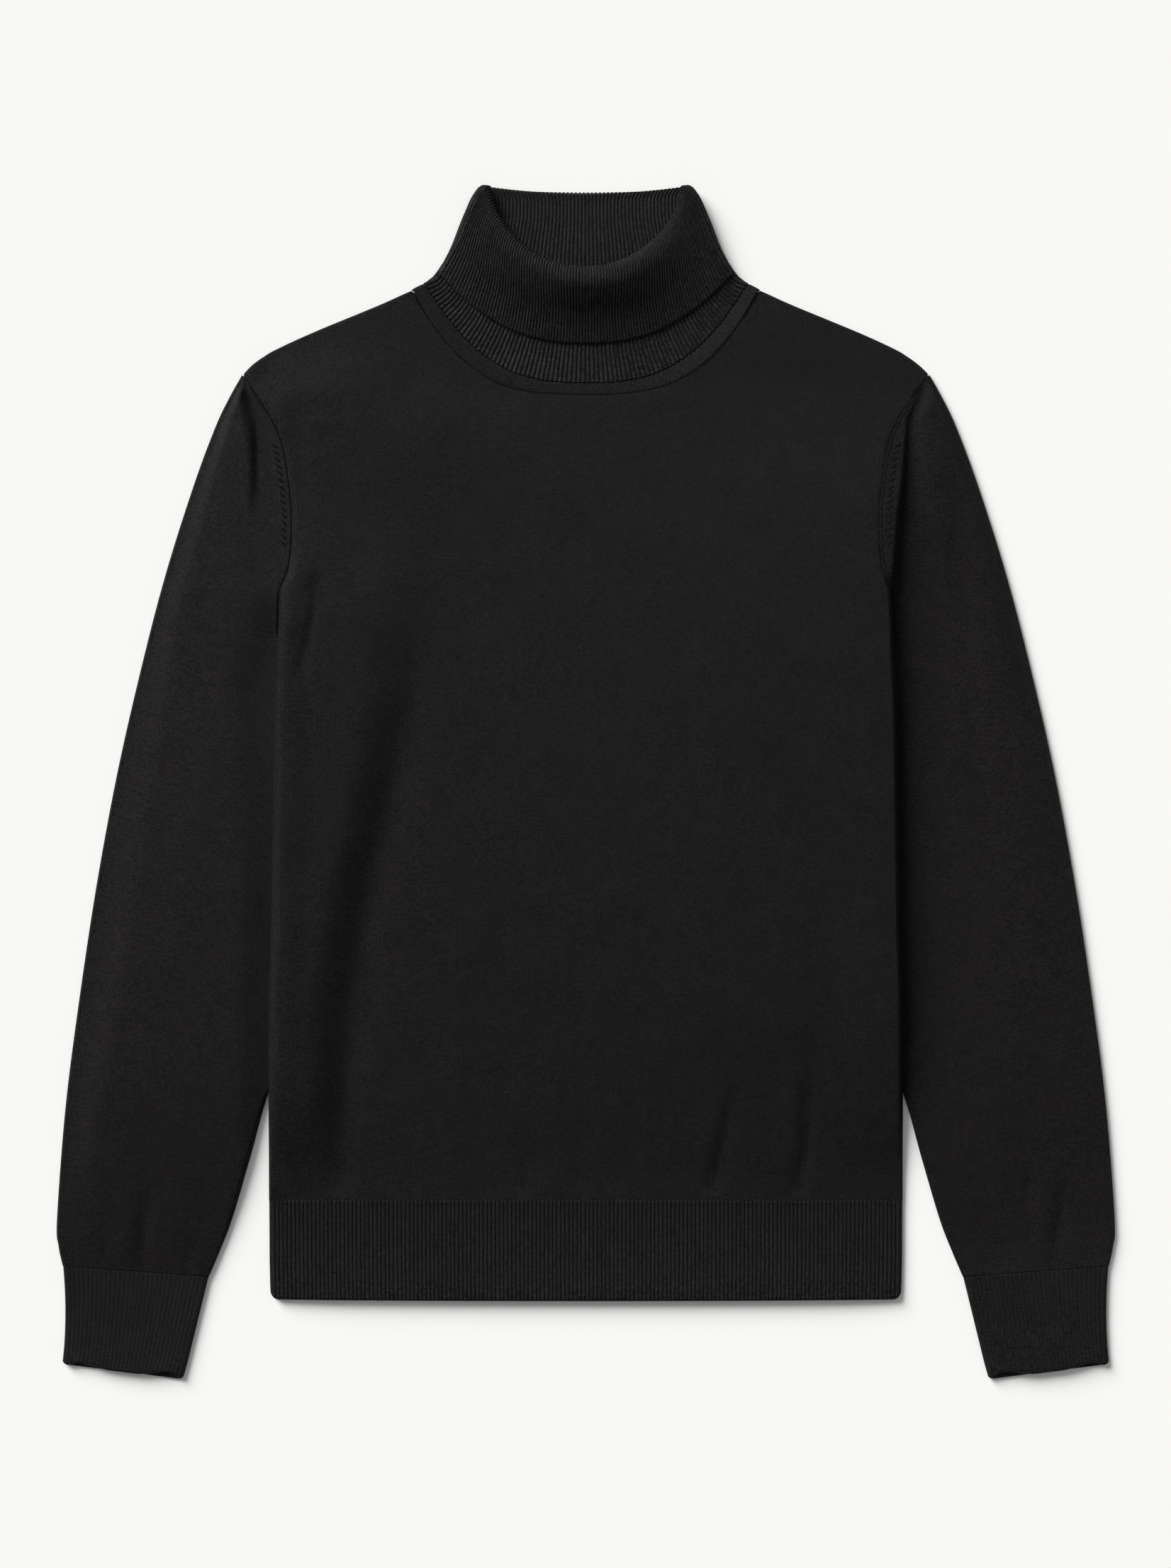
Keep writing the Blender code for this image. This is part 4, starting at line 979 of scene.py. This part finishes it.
def tube_grid(inner, outer, turns, clear, front_parts, back_parts):
    """Middle points of a sleeve or cuff, from its seam over the front to its seam.

    Each section runs straight in plan from the inner to the outer edge: the front
    layer, the fold at the outer edge and the back layer. turns is how far its inner
    edges turn to meet each other, and clear how far they stay inside the inner line.
    Returns the points, and for each column its place across the front, 0 elsewhere.
    """
    inner_out = sideways(inner)
    inner_out *= np.sign(((inner - outer) * inner_out).sum(axis=1))[:, None]
    outer_out = sideways(outer)
    outer_out *= np.sign(((outer - inner) * outer_out).sum(axis=1))[:, None]
    start = inner - inner_out * (clear + bend(1.0, turns)[0])[:, None]
    fold = outer - outer_out * (JERSEY / 2 + FOLD_RADIUS)
    level = np.ones(len(inner))

    def column(place, height, part=0.0):
        return np.column_stack([place, height * level, part * level])

    strips = []
    for step in EDGE_STEPS:
        reach, down = bend(step, turns)
        strips.append((start + inner_out * reach[:, None], down))
    columns = [column(place, FRONT_LEVEL - down) for place, down in strips[::-1]]
    for part in front_parts:
        part = np.broadcast_to(part, len(inner))
        place = start + (fold - start) * part[:, None]
        columns.append(column(place, FRONT_LEVEL, part))
    for angle in FOLD_ANGLES:
        place = fold + outer_out * FOLD_RADIUS * np.sin(angle)
        columns.append(column(place, BACK_LEVEL + FOLD_RADIUS * (1.0 + np.cos(angle))))
    for part in back_parts:
        columns.append(column(start + (fold - start) * part, BACK_LEVEL))
    columns += [column(place, BACK_LEVEL + down) for place, down in strips]
    whole = np.stack(columns, axis=1)
    return whole[..., :3].copy(), whole[..., 3]


def sleeve_sections():
    """Where the fine sections of a right sleeve meet its inner and its outer edge."""
    table = np.stack(list(SLEEVE_ROWS.values()), axis=1)
    fine = fine_line(table, SECTION_POINTS)
    fine = at_lengths(fine, np.linspace(0.0, lengths(fine)[-1], SLEEVE_STEPS))
    inner_y, inner_x, outer_y = fine.T
    seam = table_line(ARMHOLE)
    inner_x = np.where(inner_y > UNDERARM, at_heights(seam, inner_y), inner_x)
    inner = np.stack([inner_x, inner_y], axis=1)
    outer = np.stack([at_heights(table_line(SLEEVE_OUTER), outer_y), outer_y], axis=1)
    return inner, outer


def close_at_ends(count, share):
    """Parts from 0 to 1 that lie closer at both ends, by a share of an even spread."""
    even = np.linspace(0.0, 1.0, count)
    return share * (0.5 - 0.5 * np.cos(np.pi * even)) + (1.0 - share) * even


def sleeve_relief(grid, parts, front, side):
    """Heights added to a sleeve's layers: its lift, and its front's crown and folds."""
    x, y = grid[..., 0], grid[..., 1]
    name = "left" if side < 0 else "right"
    line = VALLEYS[name]
    step, start, width = (np.interp(y, line["y"], line[key]) for key in ("x", "start", "width"))
    step = np.where(y < UNDERARM, body_half(y), step)
    clear = smooth(0.0, 1.0, (x - step - start) / width)
    inside = clear * (1.0 - smooth(*CROWN_PARTS, parts)) * (parts > 0.0)
    crown = (SLEEVE_CROWN[name] + waves(side * x, y)) * smooth(*CROWN_RAMP, y)
    folds = creased(side * x, y, LEFT_CREASES if side < 0 else RIGHT_CREASES)
    relief = sleeve_lift(x, y, name) + inside * (crown + folds)
    if name == "right":
        relief += right_fullness(y) * before_valley(x, y) * front
    return relief


def sleeve_seams(grid, front, side):
    """Heights of a sleeve's seams and of the short creases in its outer edge."""
    inner, outer = sleeve_sections()
    free = inner[inner[:, 1] < UNDERARM_SHOWN]
    edge_out = sideways(free) * np.sign(sideways(free)[:, :1])
    lines = [seam_line(free + edge_out * UNDERARM_INSET, *UNDERARM_SEAM),
             seam_line(table_line(ARMHOLE)[::SEAM_SKIP], *ARMHOLE_SEAM)]
    outline = table_line(SLEEVE_OUTER)
    for y, length in zip(*(LEFT_EDGE_CREASES if side < 0 else RIGHT_EDGE_CREASES).values()):
        heights = np.linspace(y - length / 2, y + length / 2, EDGE_CREASE_POINTS)
        line = np.stack([at_heights(outline, heights) - EDGE_CREASE_INSET, heights], axis=1)
        crease = seam_line(line, *EDGE_CREASE)
        crease[:, 3] *= np.sin(np.linspace(0.0, np.pi, len(crease)))
        lines.append(crease)
    return creased(grid[..., 0], grid[..., 1], lines) * front


def cuff_sections():
    """Where the fine sections of a right cuff meet its inner and its outer edge."""
    share = np.linspace(0.0, 1.0, CUFF_STEPS) ** CUFF_CROWDING
    inner_x, inner_y, outer_x, outer_y = (np.interp(share, (0, 1), ends)
                                          for ends in CUFF_ROWS.values())
    inner = np.stack([inner_x, inner_y], axis=1)
    outer = np.stack([outer_x, outer_y], axis=1)
    outer[:, 0] -= CUFF_WAIST * 4 * share * (1.0 - share)
    return inner, outer, share


def cuff_lips(parts):
    """How far a cuff's front draws up from its back along its mouth, at parts across."""
    height = np.zeros(parts.shape)
    for start, peak, end, rise in CUFF_LIPS:
        height += rise * smooth(start, peak, parts) * (1.0 - smooth(peak, end, parts))
    return height


def build_sleeve(name, side):
    """A sleeve, made on the right and mirrored where its side is -1."""
    inner, outer = sleeve_sections()
    below = inner[:, 1] < UNDERARM
    turns = np.where(below, EDGE_BEND, SEAM_BEND)
    clear = np.where(below, JERSEY / 2, ARMHOLE_GAP)
    grid, parts = tube_grid(inner, outer, turns, clear,
                            close_at_ends(SLEEVE_COLUMNS, SLEEVE_CROWDING),
                            np.linspace(1.0, 0.0, SLEEVE_BACK_COLUMNS))
    fold = len(EDGE_STEPS) + SLEEVE_COLUMNS
    front = np.arange(grid.shape[1]) < fold
    grid[..., 2] += sleeve_relief(grid, parts, front, side) + sleeve_seams(grid, front, side)
    return cloth(f"sleeve_{name}_knit", grid * (side, 1, 1), -side, counts(grid, fold))


def build_cuff(name, side):
    """The rib cuff of the same sleeve."""
    inner, outer, share = cuff_sections()
    places, heights = rib_columns(CUFF_RIBS)
    grid, parts = tube_grid(inner, outer, np.full(len(share), EDGE_BEND),
                            np.full(len(share), JERSEY / 2),
                            places / CUFF_RIBS, 1.0 - places / CUFF_RIBS)
    low = smooth(*MOUTH, share)[:, None]
    inset = np.minimum(grid[..., 0] - inner[:, :1], outer[:, :1] - grid[..., 0])
    grid[..., 1] += low * corner_cut(inset, CUFF_CORNER)
    grid[..., 1] += low * cuff_lips(1.0 - parts) * (parts > 0.0)
    across = (grid[..., 0] - inner[:, :1]) / (outer[:, :1] - inner[:, :1])
    curl = CUFF_CURL * np.minimum(cuff_lips(1.0 - across), 1.0) * (grid[..., 2] < LAYERS)
    grid[..., 2] += smooth(*CUFF_LIP_CURL, share)[:, None] * curl
    flare = (1.0 - np.abs(2 * parts - 1) ** CUFF_FLAT) * (parts > 0.0)
    grid[..., 2] += CUFF_FLARE * share[:, None] ** 2 * flare

    stitches = counts(grid)
    relief = np.zeros(grid.shape[1])
    strip, columns = len(EDGE_STEPS), len(places)
    for start, order in ((strip, 1), (strip + columns + len(FOLD_ANGLES), -1)):
        stitches[:, start:start + columns, 0] = 2 * places - 0.5
        relief[start:start + columns] = heights[::order]
    distance = np.linalg.norm(grid - grid[:1], axis=2)
    relief = CUFF_SHARE * rib_relief(relief, knuckles(distance))
    return cloth(f"cuff_{name}_knit", grid * (side, 1, 1), -side, stitches, relief,
                 RIB_INSIDE_STEPS, (False, True))


def build_sleeves():
    """Both sleeves with their cuffs."""
    made = {}
    for name, side in (("left", -1), ("right", 1)):
        made["sleeve_" + name] = build_sleeve(name, side)
        made["cuff_" + name] = build_cuff(name, side)
    return made


# ---- neck -----------------------------------------------------------------------

def neck_line(half, corner_y, front_y, back_y, power, rounding, front_z, front_corner_z,
              back_z, back_corner_z):
    """The right half of a line round the neck, from the front's middle to the back's.

    Returns it with the length at which it turns from the front to the back.
    """
    radius = (front_corner_z - back_corner_z) / 2
    parts = np.sin(np.linspace(0.0, np.pi / 2, NECK_STEPS))
    x = (half - radius) * parts
    curve = (1 - rounding) * parts ** power + rounding * (1 - np.sqrt(1 - parts ** 2))
    front = np.stack([x, front_y + (corner_y - front_y) * curve,
                      front_corner_z + (front_z - front_corner_z) * (1 - parts ** 2)], 1)
    back = np.stack([x, back_y + (corner_y - back_y) * parts ** power,
                     back_corner_z + (back_z - back_corner_z) * (1 - parts ** 2)], 1)
    angles = np.linspace(0.0, np.pi, TURN_STEPS)[1:-1]
    turn = np.stack([half - radius + radius * np.sin(angles),
                     np.full(len(angles), corner_y),
                     back_corner_z + radius * (1.0 + np.cos(angles))], 1)
    line = np.vstack([front, turn, back[::-1]])
    return line, lengths(line)[len(front) + len(turn) // 2]


def round_neck(line, turns_at, in_front, spread, in_all, places):
    """Points round the neck at places counted in steps from the front's middle."""
    places = (places + in_all / 2) % in_all - in_all / 2
    part = np.abs(places) / (in_front / 2)
    marks = np.interp(np.abs(places), (0.0, in_front / 2, in_all / 2),
                      (0.0, turns_at, lengths(line)[-1]))
    marks -= turns_at * spread * np.where(part < 1.0, part - part ** 3, 0.0)
    points = at_lengths(line, marks)
    points[:, 0] *= np.where(places < 0.0, -1.0, 1.0)
    return points


def build_collar():
    """The turned rib collar, one wall from its seam over the roll to the flap's edge."""
    places, heights = rib_columns(COLLAR_RIBS)
    places, heights = places[:-1], heights[:-1]
    knots = np.array(COLLAR["along"])
    along = np.linspace(0.0, knots[-1], round(knots[-1] / COLLAR_STEP) + 1)
    lines = {key: between_knots(knots, column, along) for key, column in COLLAR.items()}
    grid = []
    for row in zip(*list(lines.values())[1:]):
        grid.append(round_neck(*neck_line(*row[:-2]), *row[-2:], COLLAR_RIBS, places))
    grid = np.array(grid)
    edge = rolled(grid, -1, -2)
    out = -normals(grid, True)
    relief = rib_relief(heights, 0.0)[None, :]
    thin = 1.0 - FLAP_THIN * smooth(knots[-1] - FLAP_EDGE, knots[-1], along)[:, None]
    shows = smooth(*RIB_FADE, out[..., 2])
    outside = grid + out * (thin * (JERSEY / 2 + relief * shows))[..., None]
    shows = smooth(*RIB_FADE, -out[..., 2]) * (along < STAND_SHOWN)[:, None]
    inside = grid - out * (thin * (JERSEY / 2 + relief * shows))[..., None]

    outside = np.concatenate([outside, edge[None]])
    inside = np.concatenate([inside, inside[-1:]])
    distance = np.append(along, along[-1]) / COURSE
    wales = np.append(2 * places, 2 * COLLAR_RIBS) - 0.5
    stitches = np.dstack(np.meshgrid(wales, distance))
    shown = np.searchsorted(along, STAND_SHOWN)
    rows = [*range(shown), *range(shown, len(outside) - 1, COLLAR_HIDDEN_STEP),
            len(outside) - 1]
    return {"collar": wall("collar_knit", outside, inside, stitches, rows,
                           range(len(places)), True)}


def build_band():
    """The band that the collar and the body are linked to, a closed flat tube."""
    front_z = FRONT_LEVEL + (BAND_THICK - JERSEY) / 2
    back_z = BAND_THICK / 2
    places = np.arange(BAND_STEPS)
    edges = []
    for half, corner_y, front_y, back_y, power in zip(*BAND.values()):
        line = neck_line(half, corner_y, front_y, back_y, power, 0.0, front_z, front_z,
                         back_z, back_z)
        edges.append(round_neck(*line, BAND_FRONT_STEPS, 0.0, BAND_STEPS, places))
    inner, outer = edges
    middle, across = (inner + outer) / 2, (outer - inner) / 2
    along = np.roll(middle, -1, axis=0) - np.roll(middle, 1, axis=0)
    up = unit(np.cross(across, along)) * BAND_THICK / 2
    rings = []
    for angle in BAND_ANGLES:
        wide, tall = (np.sign(value) * np.abs(value) ** BAND_SQUARE
                      for value in (np.cos(angle), np.sin(angle)))
        rings.append(middle + across * wide + up * tall)
    grid = np.array(rings)
    return {"neck_band": ring("neck_band_knit", grid)}


def ring(name, grid):
    """A closed tube round a closed line, from rings of points that follow the line."""
    around, steps = grid.shape[:2]
    closed = np.concatenate([grid, grid[:1]])
    closed = np.concatenate([closed, closed[:, :1]], axis=1)
    across = np.linalg.norm(np.diff(closed, axis=0), axis=2).mean(axis=1)
    along = np.linalg.norm(np.diff(closed, axis=1), axis=2).mean(axis=0)
    u = np.concatenate([[0.0], np.cumsum(across)]) / WALE
    v = np.concatenate([[0.0], np.cumsum(along)]) / COURSE
    stitches = np.dstack(np.meshgrid(u, v, indexing="ij"))
    faces = grid_faces(around + 1, steps, 0, True) % (around * steps)
    mesh = bpy.data.meshes.new(name)
    mesh.from_pydata((grid.reshape(-1, 3) * MM).tolist(), [], faces.tolist())
    layer = mesh.uv_layers.new(name="stitches")
    layer.data.foreach_set("uv", grid_corners(stitches).ravel())
    return finish_piece(name, mesh)


# ---- stitches that show one by one ----------------------------------------------

def stitch_row(name, places, directions, size, levels):
    """A row of single stitches, each a small long drop of yarn, joined in one piece."""
    bpy.ops.object.select_all(action="DESELECT")
    bpy.ops.mesh.primitive_uv_sphere_add(radius=0.5, **STITCH_SIDES)
    stitch = bpy.context.object
    shape = np.array([vertex.co for vertex in stitch.data.vertices]) * size
    # sorted, because a new sphere lists its faces in another order each time
    faces = sorted(list(face.vertices) for face in stitch.data.polygons)
    bpy.data.objects.remove(stitch, do_unlink=True)
    points, joined = [], []
    for (x, y), (run, rise), level in zip(places, directions, levels):
        joined += [[corner + len(points) * len(shape) for corner in face] for face in faces]
        points.append(np.stack([shape[:, 0] * run - shape[:, 1] * rise + x,
                                shape[:, 0] * rise + shape[:, 1] * run + y,
                                shape[:, 2] + level], axis=1))
    mesh = bpy.data.meshes.new(name)
    mesh.from_pydata((np.vstack(points) * MM).tolist(), [], joined)
    mesh.uv_layers.new(name="stitches")
    return finish_piece(name, mesh)


def surface_level(piece, places):
    """Height of a piece's upper face at places in plan, in millimetres."""
    bpy.context.view_layer.update()
    levels = []
    for x, y in places:
        found, point, _, _ = piece.ray_cast((x * MM, y * MM, 1.0), (0.0, 0.0, -1.0))
        levels.append(point.z / MM if found else FRONT_LEVEL)
    return levels


def turned(directions, angle):
    """Directions in plan, turned by an angle."""
    cos, sin = np.cos(angle), np.sin(angle)
    return directions @ np.array(((cos, sin), (-sin, cos)))


def build_marks(made):
    """The marks of shaping and the linking stitches along both armholes' seams, coloured
    near black as painted shadow.
    """
    seam = table_line(ARMHOLE)
    heights = MARKS_FROM - MARKS_STEP * np.arange(MARKS_COUNT)
    out = np.stack([np.interp(heights, seam[:, 1], column) for column in sideways(seam).T], 1)
    place = np.stack([at_heights(seam, heights), heights], axis=1) + out * MARK_INSET
    line = at_lengths(seam, np.arange(0.0, lengths(seam)[-1], LINK_STEP))
    first, last = ARMHOLE_LINK_ENDS
    line = line[(line[:, 1] > first) & (line[:, 1] < last)]
    along = unit(np.gradient(line, axis=0))
    across = np.stack([np.interp(line[:, 1], heights[::-1], column[::-1])
                       for column in out.T], axis=1)
    line += across * ARMHOLE_LINK_INSET
    marks = []
    for name, side in (("left", -1), ("right", 1)):
        half = (side, 1)
        slanted = turned(out * half, side * MARK_ANGLE)
        for row, places, directions, size in (
                ("shaping_marks_painted_shadow_", place * half, slanted, MARK_SIZE),
                ("armhole_linking_painted_shadow_", line * half, along * half, ARMHOLE_LINK)):
            levels = surface_level(made["sleeve_" + name], places)
            marks.append(stitch_row(row + name, places, directions, size, levels))
    return marks


def build_band_links():
    """The linking stitches that join the neck band to the front."""
    outward, above = BAND_LINK_PLACE
    parts = np.linspace(-1.0, 1.0, BAND_LINK_POINTS)
    edge = band_edge(np.abs(parts), 1, True, outward)
    edge[:, 0] *= np.sign(parts)
    total = lengths(edge)[-1]
    places = at_lengths(edge, np.arange(LINK_STEP, total - LINK_STEP, LINK_STEP))
    levels = np.full(len(places), FRONT_LEVEL + JERSEY / 2 + above)
    return stitch_row("neck_linking", places, turned(-sideways(places), BAND_LINK_ANGLE),
                      BAND_LINK, levels)


# ---- materials ------------------------------------------------------------------

def linear(colour):
    """A colour's linear red, green, blue and alpha, from its sRGB hex value."""
    parts = [int(colour[start:start + 2], 16) / 255 for start in (1, 3, 5)]
    return (*[part / 12.92 if part <= 0.04045 else ((part + 0.055) / 1.055) ** 2.4
              for part in parts], 1.0)


def add_node(tree, kind, settings, inputs):
    """Adds a node with its settings, and sets or links its inputs."""
    made = tree.nodes.new(kind)
    for key, value in settings.items():
        setattr(made, key, value)
    for key, value in inputs.items():
        if isinstance(value, bpy.types.NodeSocket):
            tree.links.new(value, made.inputs[key])
        else:
            made.inputs[key].default_value = value
    return made


def knitted_wool(name, dark, warm, cool, depth, ribs, painted_shades):
    """Worsted-spun merino wool, dyed black and knitted in fine gauge, matt and a little hairy.

    Each stitch is a V of two legs that lean out from the middle of its wale. Its legs
    catch the light, and the holes between them are darker: in relief, and also painted
    darker in colour, as painted shade. The yarn's loose fibres give a faint sheen, its
    uneven twist gives light and dark flecks and streaks along the courses, and the dye
    takes a little warmer and cooler in places. depth is the yarn's relief, ribs how much
    darker the furrows between ribs are painted, as painted shade, and the last argument
    lists ramps of painted shade that darken the colour toward one side, where the light
    falls off.
    """
    material = bpy.data.materials.new(name)
    material.use_nodes = True
    tree = material.node_tree
    shader = tree.nodes["Principled BSDF"]
    stitches = add_node(tree, "ShaderNodeUVMap", {"uv_map": "stitches"}, {}).outputs[0]
    place = add_node(tree, "ShaderNodeTexCoord", {}, {}).outputs["Object"]
    stray = add_node(tree, "ShaderNodeTexNoise", {}, {
        "Vector": stitches, "Scale": 0.6, "Detail": 2.0, "Roughness": 0.6}).outputs["Color"]
    strayed = add_node(tree, "ShaderNodeVectorMath", {"operation": "MULTIPLY_ADD"}, {
        0: stray, 1: STITCH_DRIFT, 2: stitches}).outputs[0]
    axes = add_node(tree, "ShaderNodeSeparateXYZ", {}, {0: strayed}).outputs
    even_axes = add_node(tree, "ShaderNodeSeparateXYZ", {}, {0: stitches}).outputs
    drawn_out = add_node(tree, "ShaderNodeVectorMath", {"operation": "MULTIPLY"}, {
        0: stitches, 1: DRAWN_OUT}).outputs[0]
    made = dict(place=place, drawn_out=drawn_out, wales=axes["X"], courses=axes["Y"],
                even_wales=even_axes["X"], ribs=ribs)
    for value, (follows, scale, detail) in UNEVENNESS.items():
        made[value] = add_node(tree, "ShaderNodeTexNoise", {}, {
            "Vector": made[follows], "Scale": scale, "Detail": detail,
            "Roughness": 0.65}).outputs["Fac"]
    for step, operation, *terms in STITCH_STEPS:
        terms = {number: made.get(term, term) for number, term in enumerate(terms)}
        made[step] = add_node(tree, "ShaderNodeMath", {"operation": operation}, terms).outputs[0]

    tone = 0.0
    # the stitch's share of the tone is painted shade in the holes between its legs
    for value, (middle, weight) in TONES.items():
        away = add_node(tree, "ShaderNodeMath", {"operation": "SUBTRACT"}, {
            0: made[value], 1: middle}).outputs[0]
        tone = add_node(tree, "ShaderNodeMath", {"operation": "MULTIPLY_ADD"}, {
            0: away, 1: weight, 2: tone}).outputs[0]
    shade = add_node(tree, "ShaderNodeMapRange", {}, {
        "Value": tone, "From Min": -0.5, "From Max": 0.5}).outputs["Result"]
    # painted shade: each ramp darkens the colour toward its end
    for direction, start, end, least in painted_shades:
        along = add_node(tree, "ShaderNodeVectorMath", {"operation": "DOT_PRODUCT"}, {
            0: place, 1: direction}).outputs["Value"]
        painted_fade = add_node(tree, "ShaderNodeMapRange", {}, {
            "Value": along, "From Min": start, "From Max": end, "To Min": 1.0,
            "To Max": least}).outputs["Result"]
        shade = add_node(tree, "ShaderNodeMath", {"operation": "MULTIPLY"}, {
            0: shade, 1: painted_fade}).outputs[0]
    made["shade"] = shade
    # painted shade in the furrows between ribs
    for step, operation, *terms in PAINTED_FURROW_SHADE_STEPS if ribs else ():
        terms = {number: made.get(term, term) for number, term in enumerate(terms)}
        made[step] = add_node(tree, "ShaderNodeMath", {"operation": operation}, terms).outputs[0]

    tint = add_node(tree, "ShaderNodeMapRange", {}, {
        "Value": made["dye"], "From Min": 0.3, "From Max": 0.7}).outputs["Result"]
    light = add_node(tree, "ShaderNodeMix", {"data_type": "RGBA"}, {
        0: tint, 6: linear(warm), 7: linear(cool)}).outputs[2]
    colour = add_node(tree, "ShaderNodeMix", {"data_type": "RGBA"}, {
        0: made["shade"], 6: linear(dark), 7: light}).outputs[2]
    bump = add_node(tree, "ShaderNodeBump", {}, {
        "Strength": 1.0, "Distance": depth * MM, "Height": made["height"]}).outputs["Normal"]
    tree.links.new(colour, shader.inputs["Base Color"])
    tree.links.new(bump, shader.inputs["Normal"])
    for socket, value in WOOL_SHADER.items():
        shader.inputs[socket].default_value = value
    shader.inputs["Sheen Tint"].default_value = linear(WOOL_SHEEN)
    return material


def paper_floor():
    """A sheet of matt off-white background paper, even and without a pattern to see."""
    material = bpy.data.materials.new("matt_background_paper")
    material.use_nodes = True
    tree = material.node_tree
    shader = tree.nodes["Principled BSDF"]
    place = add_node(tree, "ShaderNodeTexCoord", {}, {}).outputs["Object"]
    grain = add_node(tree, "ShaderNodeTexNoise", {}, {
        "Vector": place, "Scale": 9.0, "Detail": 2.0}).outputs["Fac"]
    colour = add_node(tree, "ShaderNodeMix", {"data_type": "RGBA"}, {
        0: grain, 6: linear("#f9f9f6"), 7: linear("#fafaf7")}).outputs[2]
    tree.links.new(colour, shader.inputs["Base Color"])
    shader.inputs["Roughness"].default_value = 1.0
    shader.inputs["Specular IOR Level"].default_value = 0.0
    return material


# ---- stage ----------------------------------------------------------------------

def build_stage():
    """The floor, the camera straight above it, and soft light from the upper left."""
    bpy.ops.object.select_all(action="DESELECT")
    bpy.ops.mesh.primitive_plane_add(size=FLOOR_SIZE, location=(0.0, 0.0, -FLOOR_DROP))
    floor = bpy.context.object
    floor.name = "floor"
    floor.data.materials.append(paper_floor())

    camera = bpy.data.cameras.new("camera")
    camera.lens = LENS
    camera.sensor_width = SENSOR
    distance = IMAGE_HEIGHT * PIXEL * LENS / SENSOR
    stand = bpy.data.objects.new("camera", camera)
    stand.location = np.array((*VIEW_CENTRE, VIEW_LEVEL + distance)) * MM
    bpy.context.scene.collection.objects.link(stand)
    bpy.context.scene.camera = stand

    for lamp in LAMPS:
        light = bpy.data.lights.new(lamp["name"], "SUN")
        light.energy = lamp["strength"]
        light.angle = np.radians(lamp["spread"])
        holder = bpy.data.objects.new(lamp["name"], light)
        holder.rotation_euler = (np.radians(lamp["elevation"] - 90.0), 0.0,
                                 np.radians(lamp["azimuth"]))
        bpy.context.scene.collection.objects.link(holder)

    world = bpy.data.worlds.new("studio")
    world.use_nodes = True
    background = world.node_tree.nodes["Background"]
    colour, strength = STUDIO_LIGHT
    background.inputs["Color"].default_value = linear(colour)
    background.inputs["Strength"].default_value = strength
    bpy.context.scene.world = world
    bpy.context.scene.view_settings.view_transform = "Standard"


# ---- the whole ------------------------------------------------------------------

bpy.ops.object.select_all(action="DESELECT")
build_stage()
wools = {name: knitted_wool(*looks) for name, looks in WOOLS.items()}
pieces = {**build_body(), **build_sleeves(), **build_collar(), **build_band()}
for node, piece in pieces.items():
    slot, wool, width, length, area, held = PIECES[node]
    piece.data.materials.append(wools[wool])
    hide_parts(node)
    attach(piece, "root")
# the shaping marks and the armholes' linking take the near-black yarn, which is painted shadow;
# the neck's linking takes the band's yarn
for wool, rows in (("stitch", build_marks(pieces)), ("band", [build_band_links()])):
    for row in rows:
        row.data.materials.append(wools[wool])
        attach(row, "root")
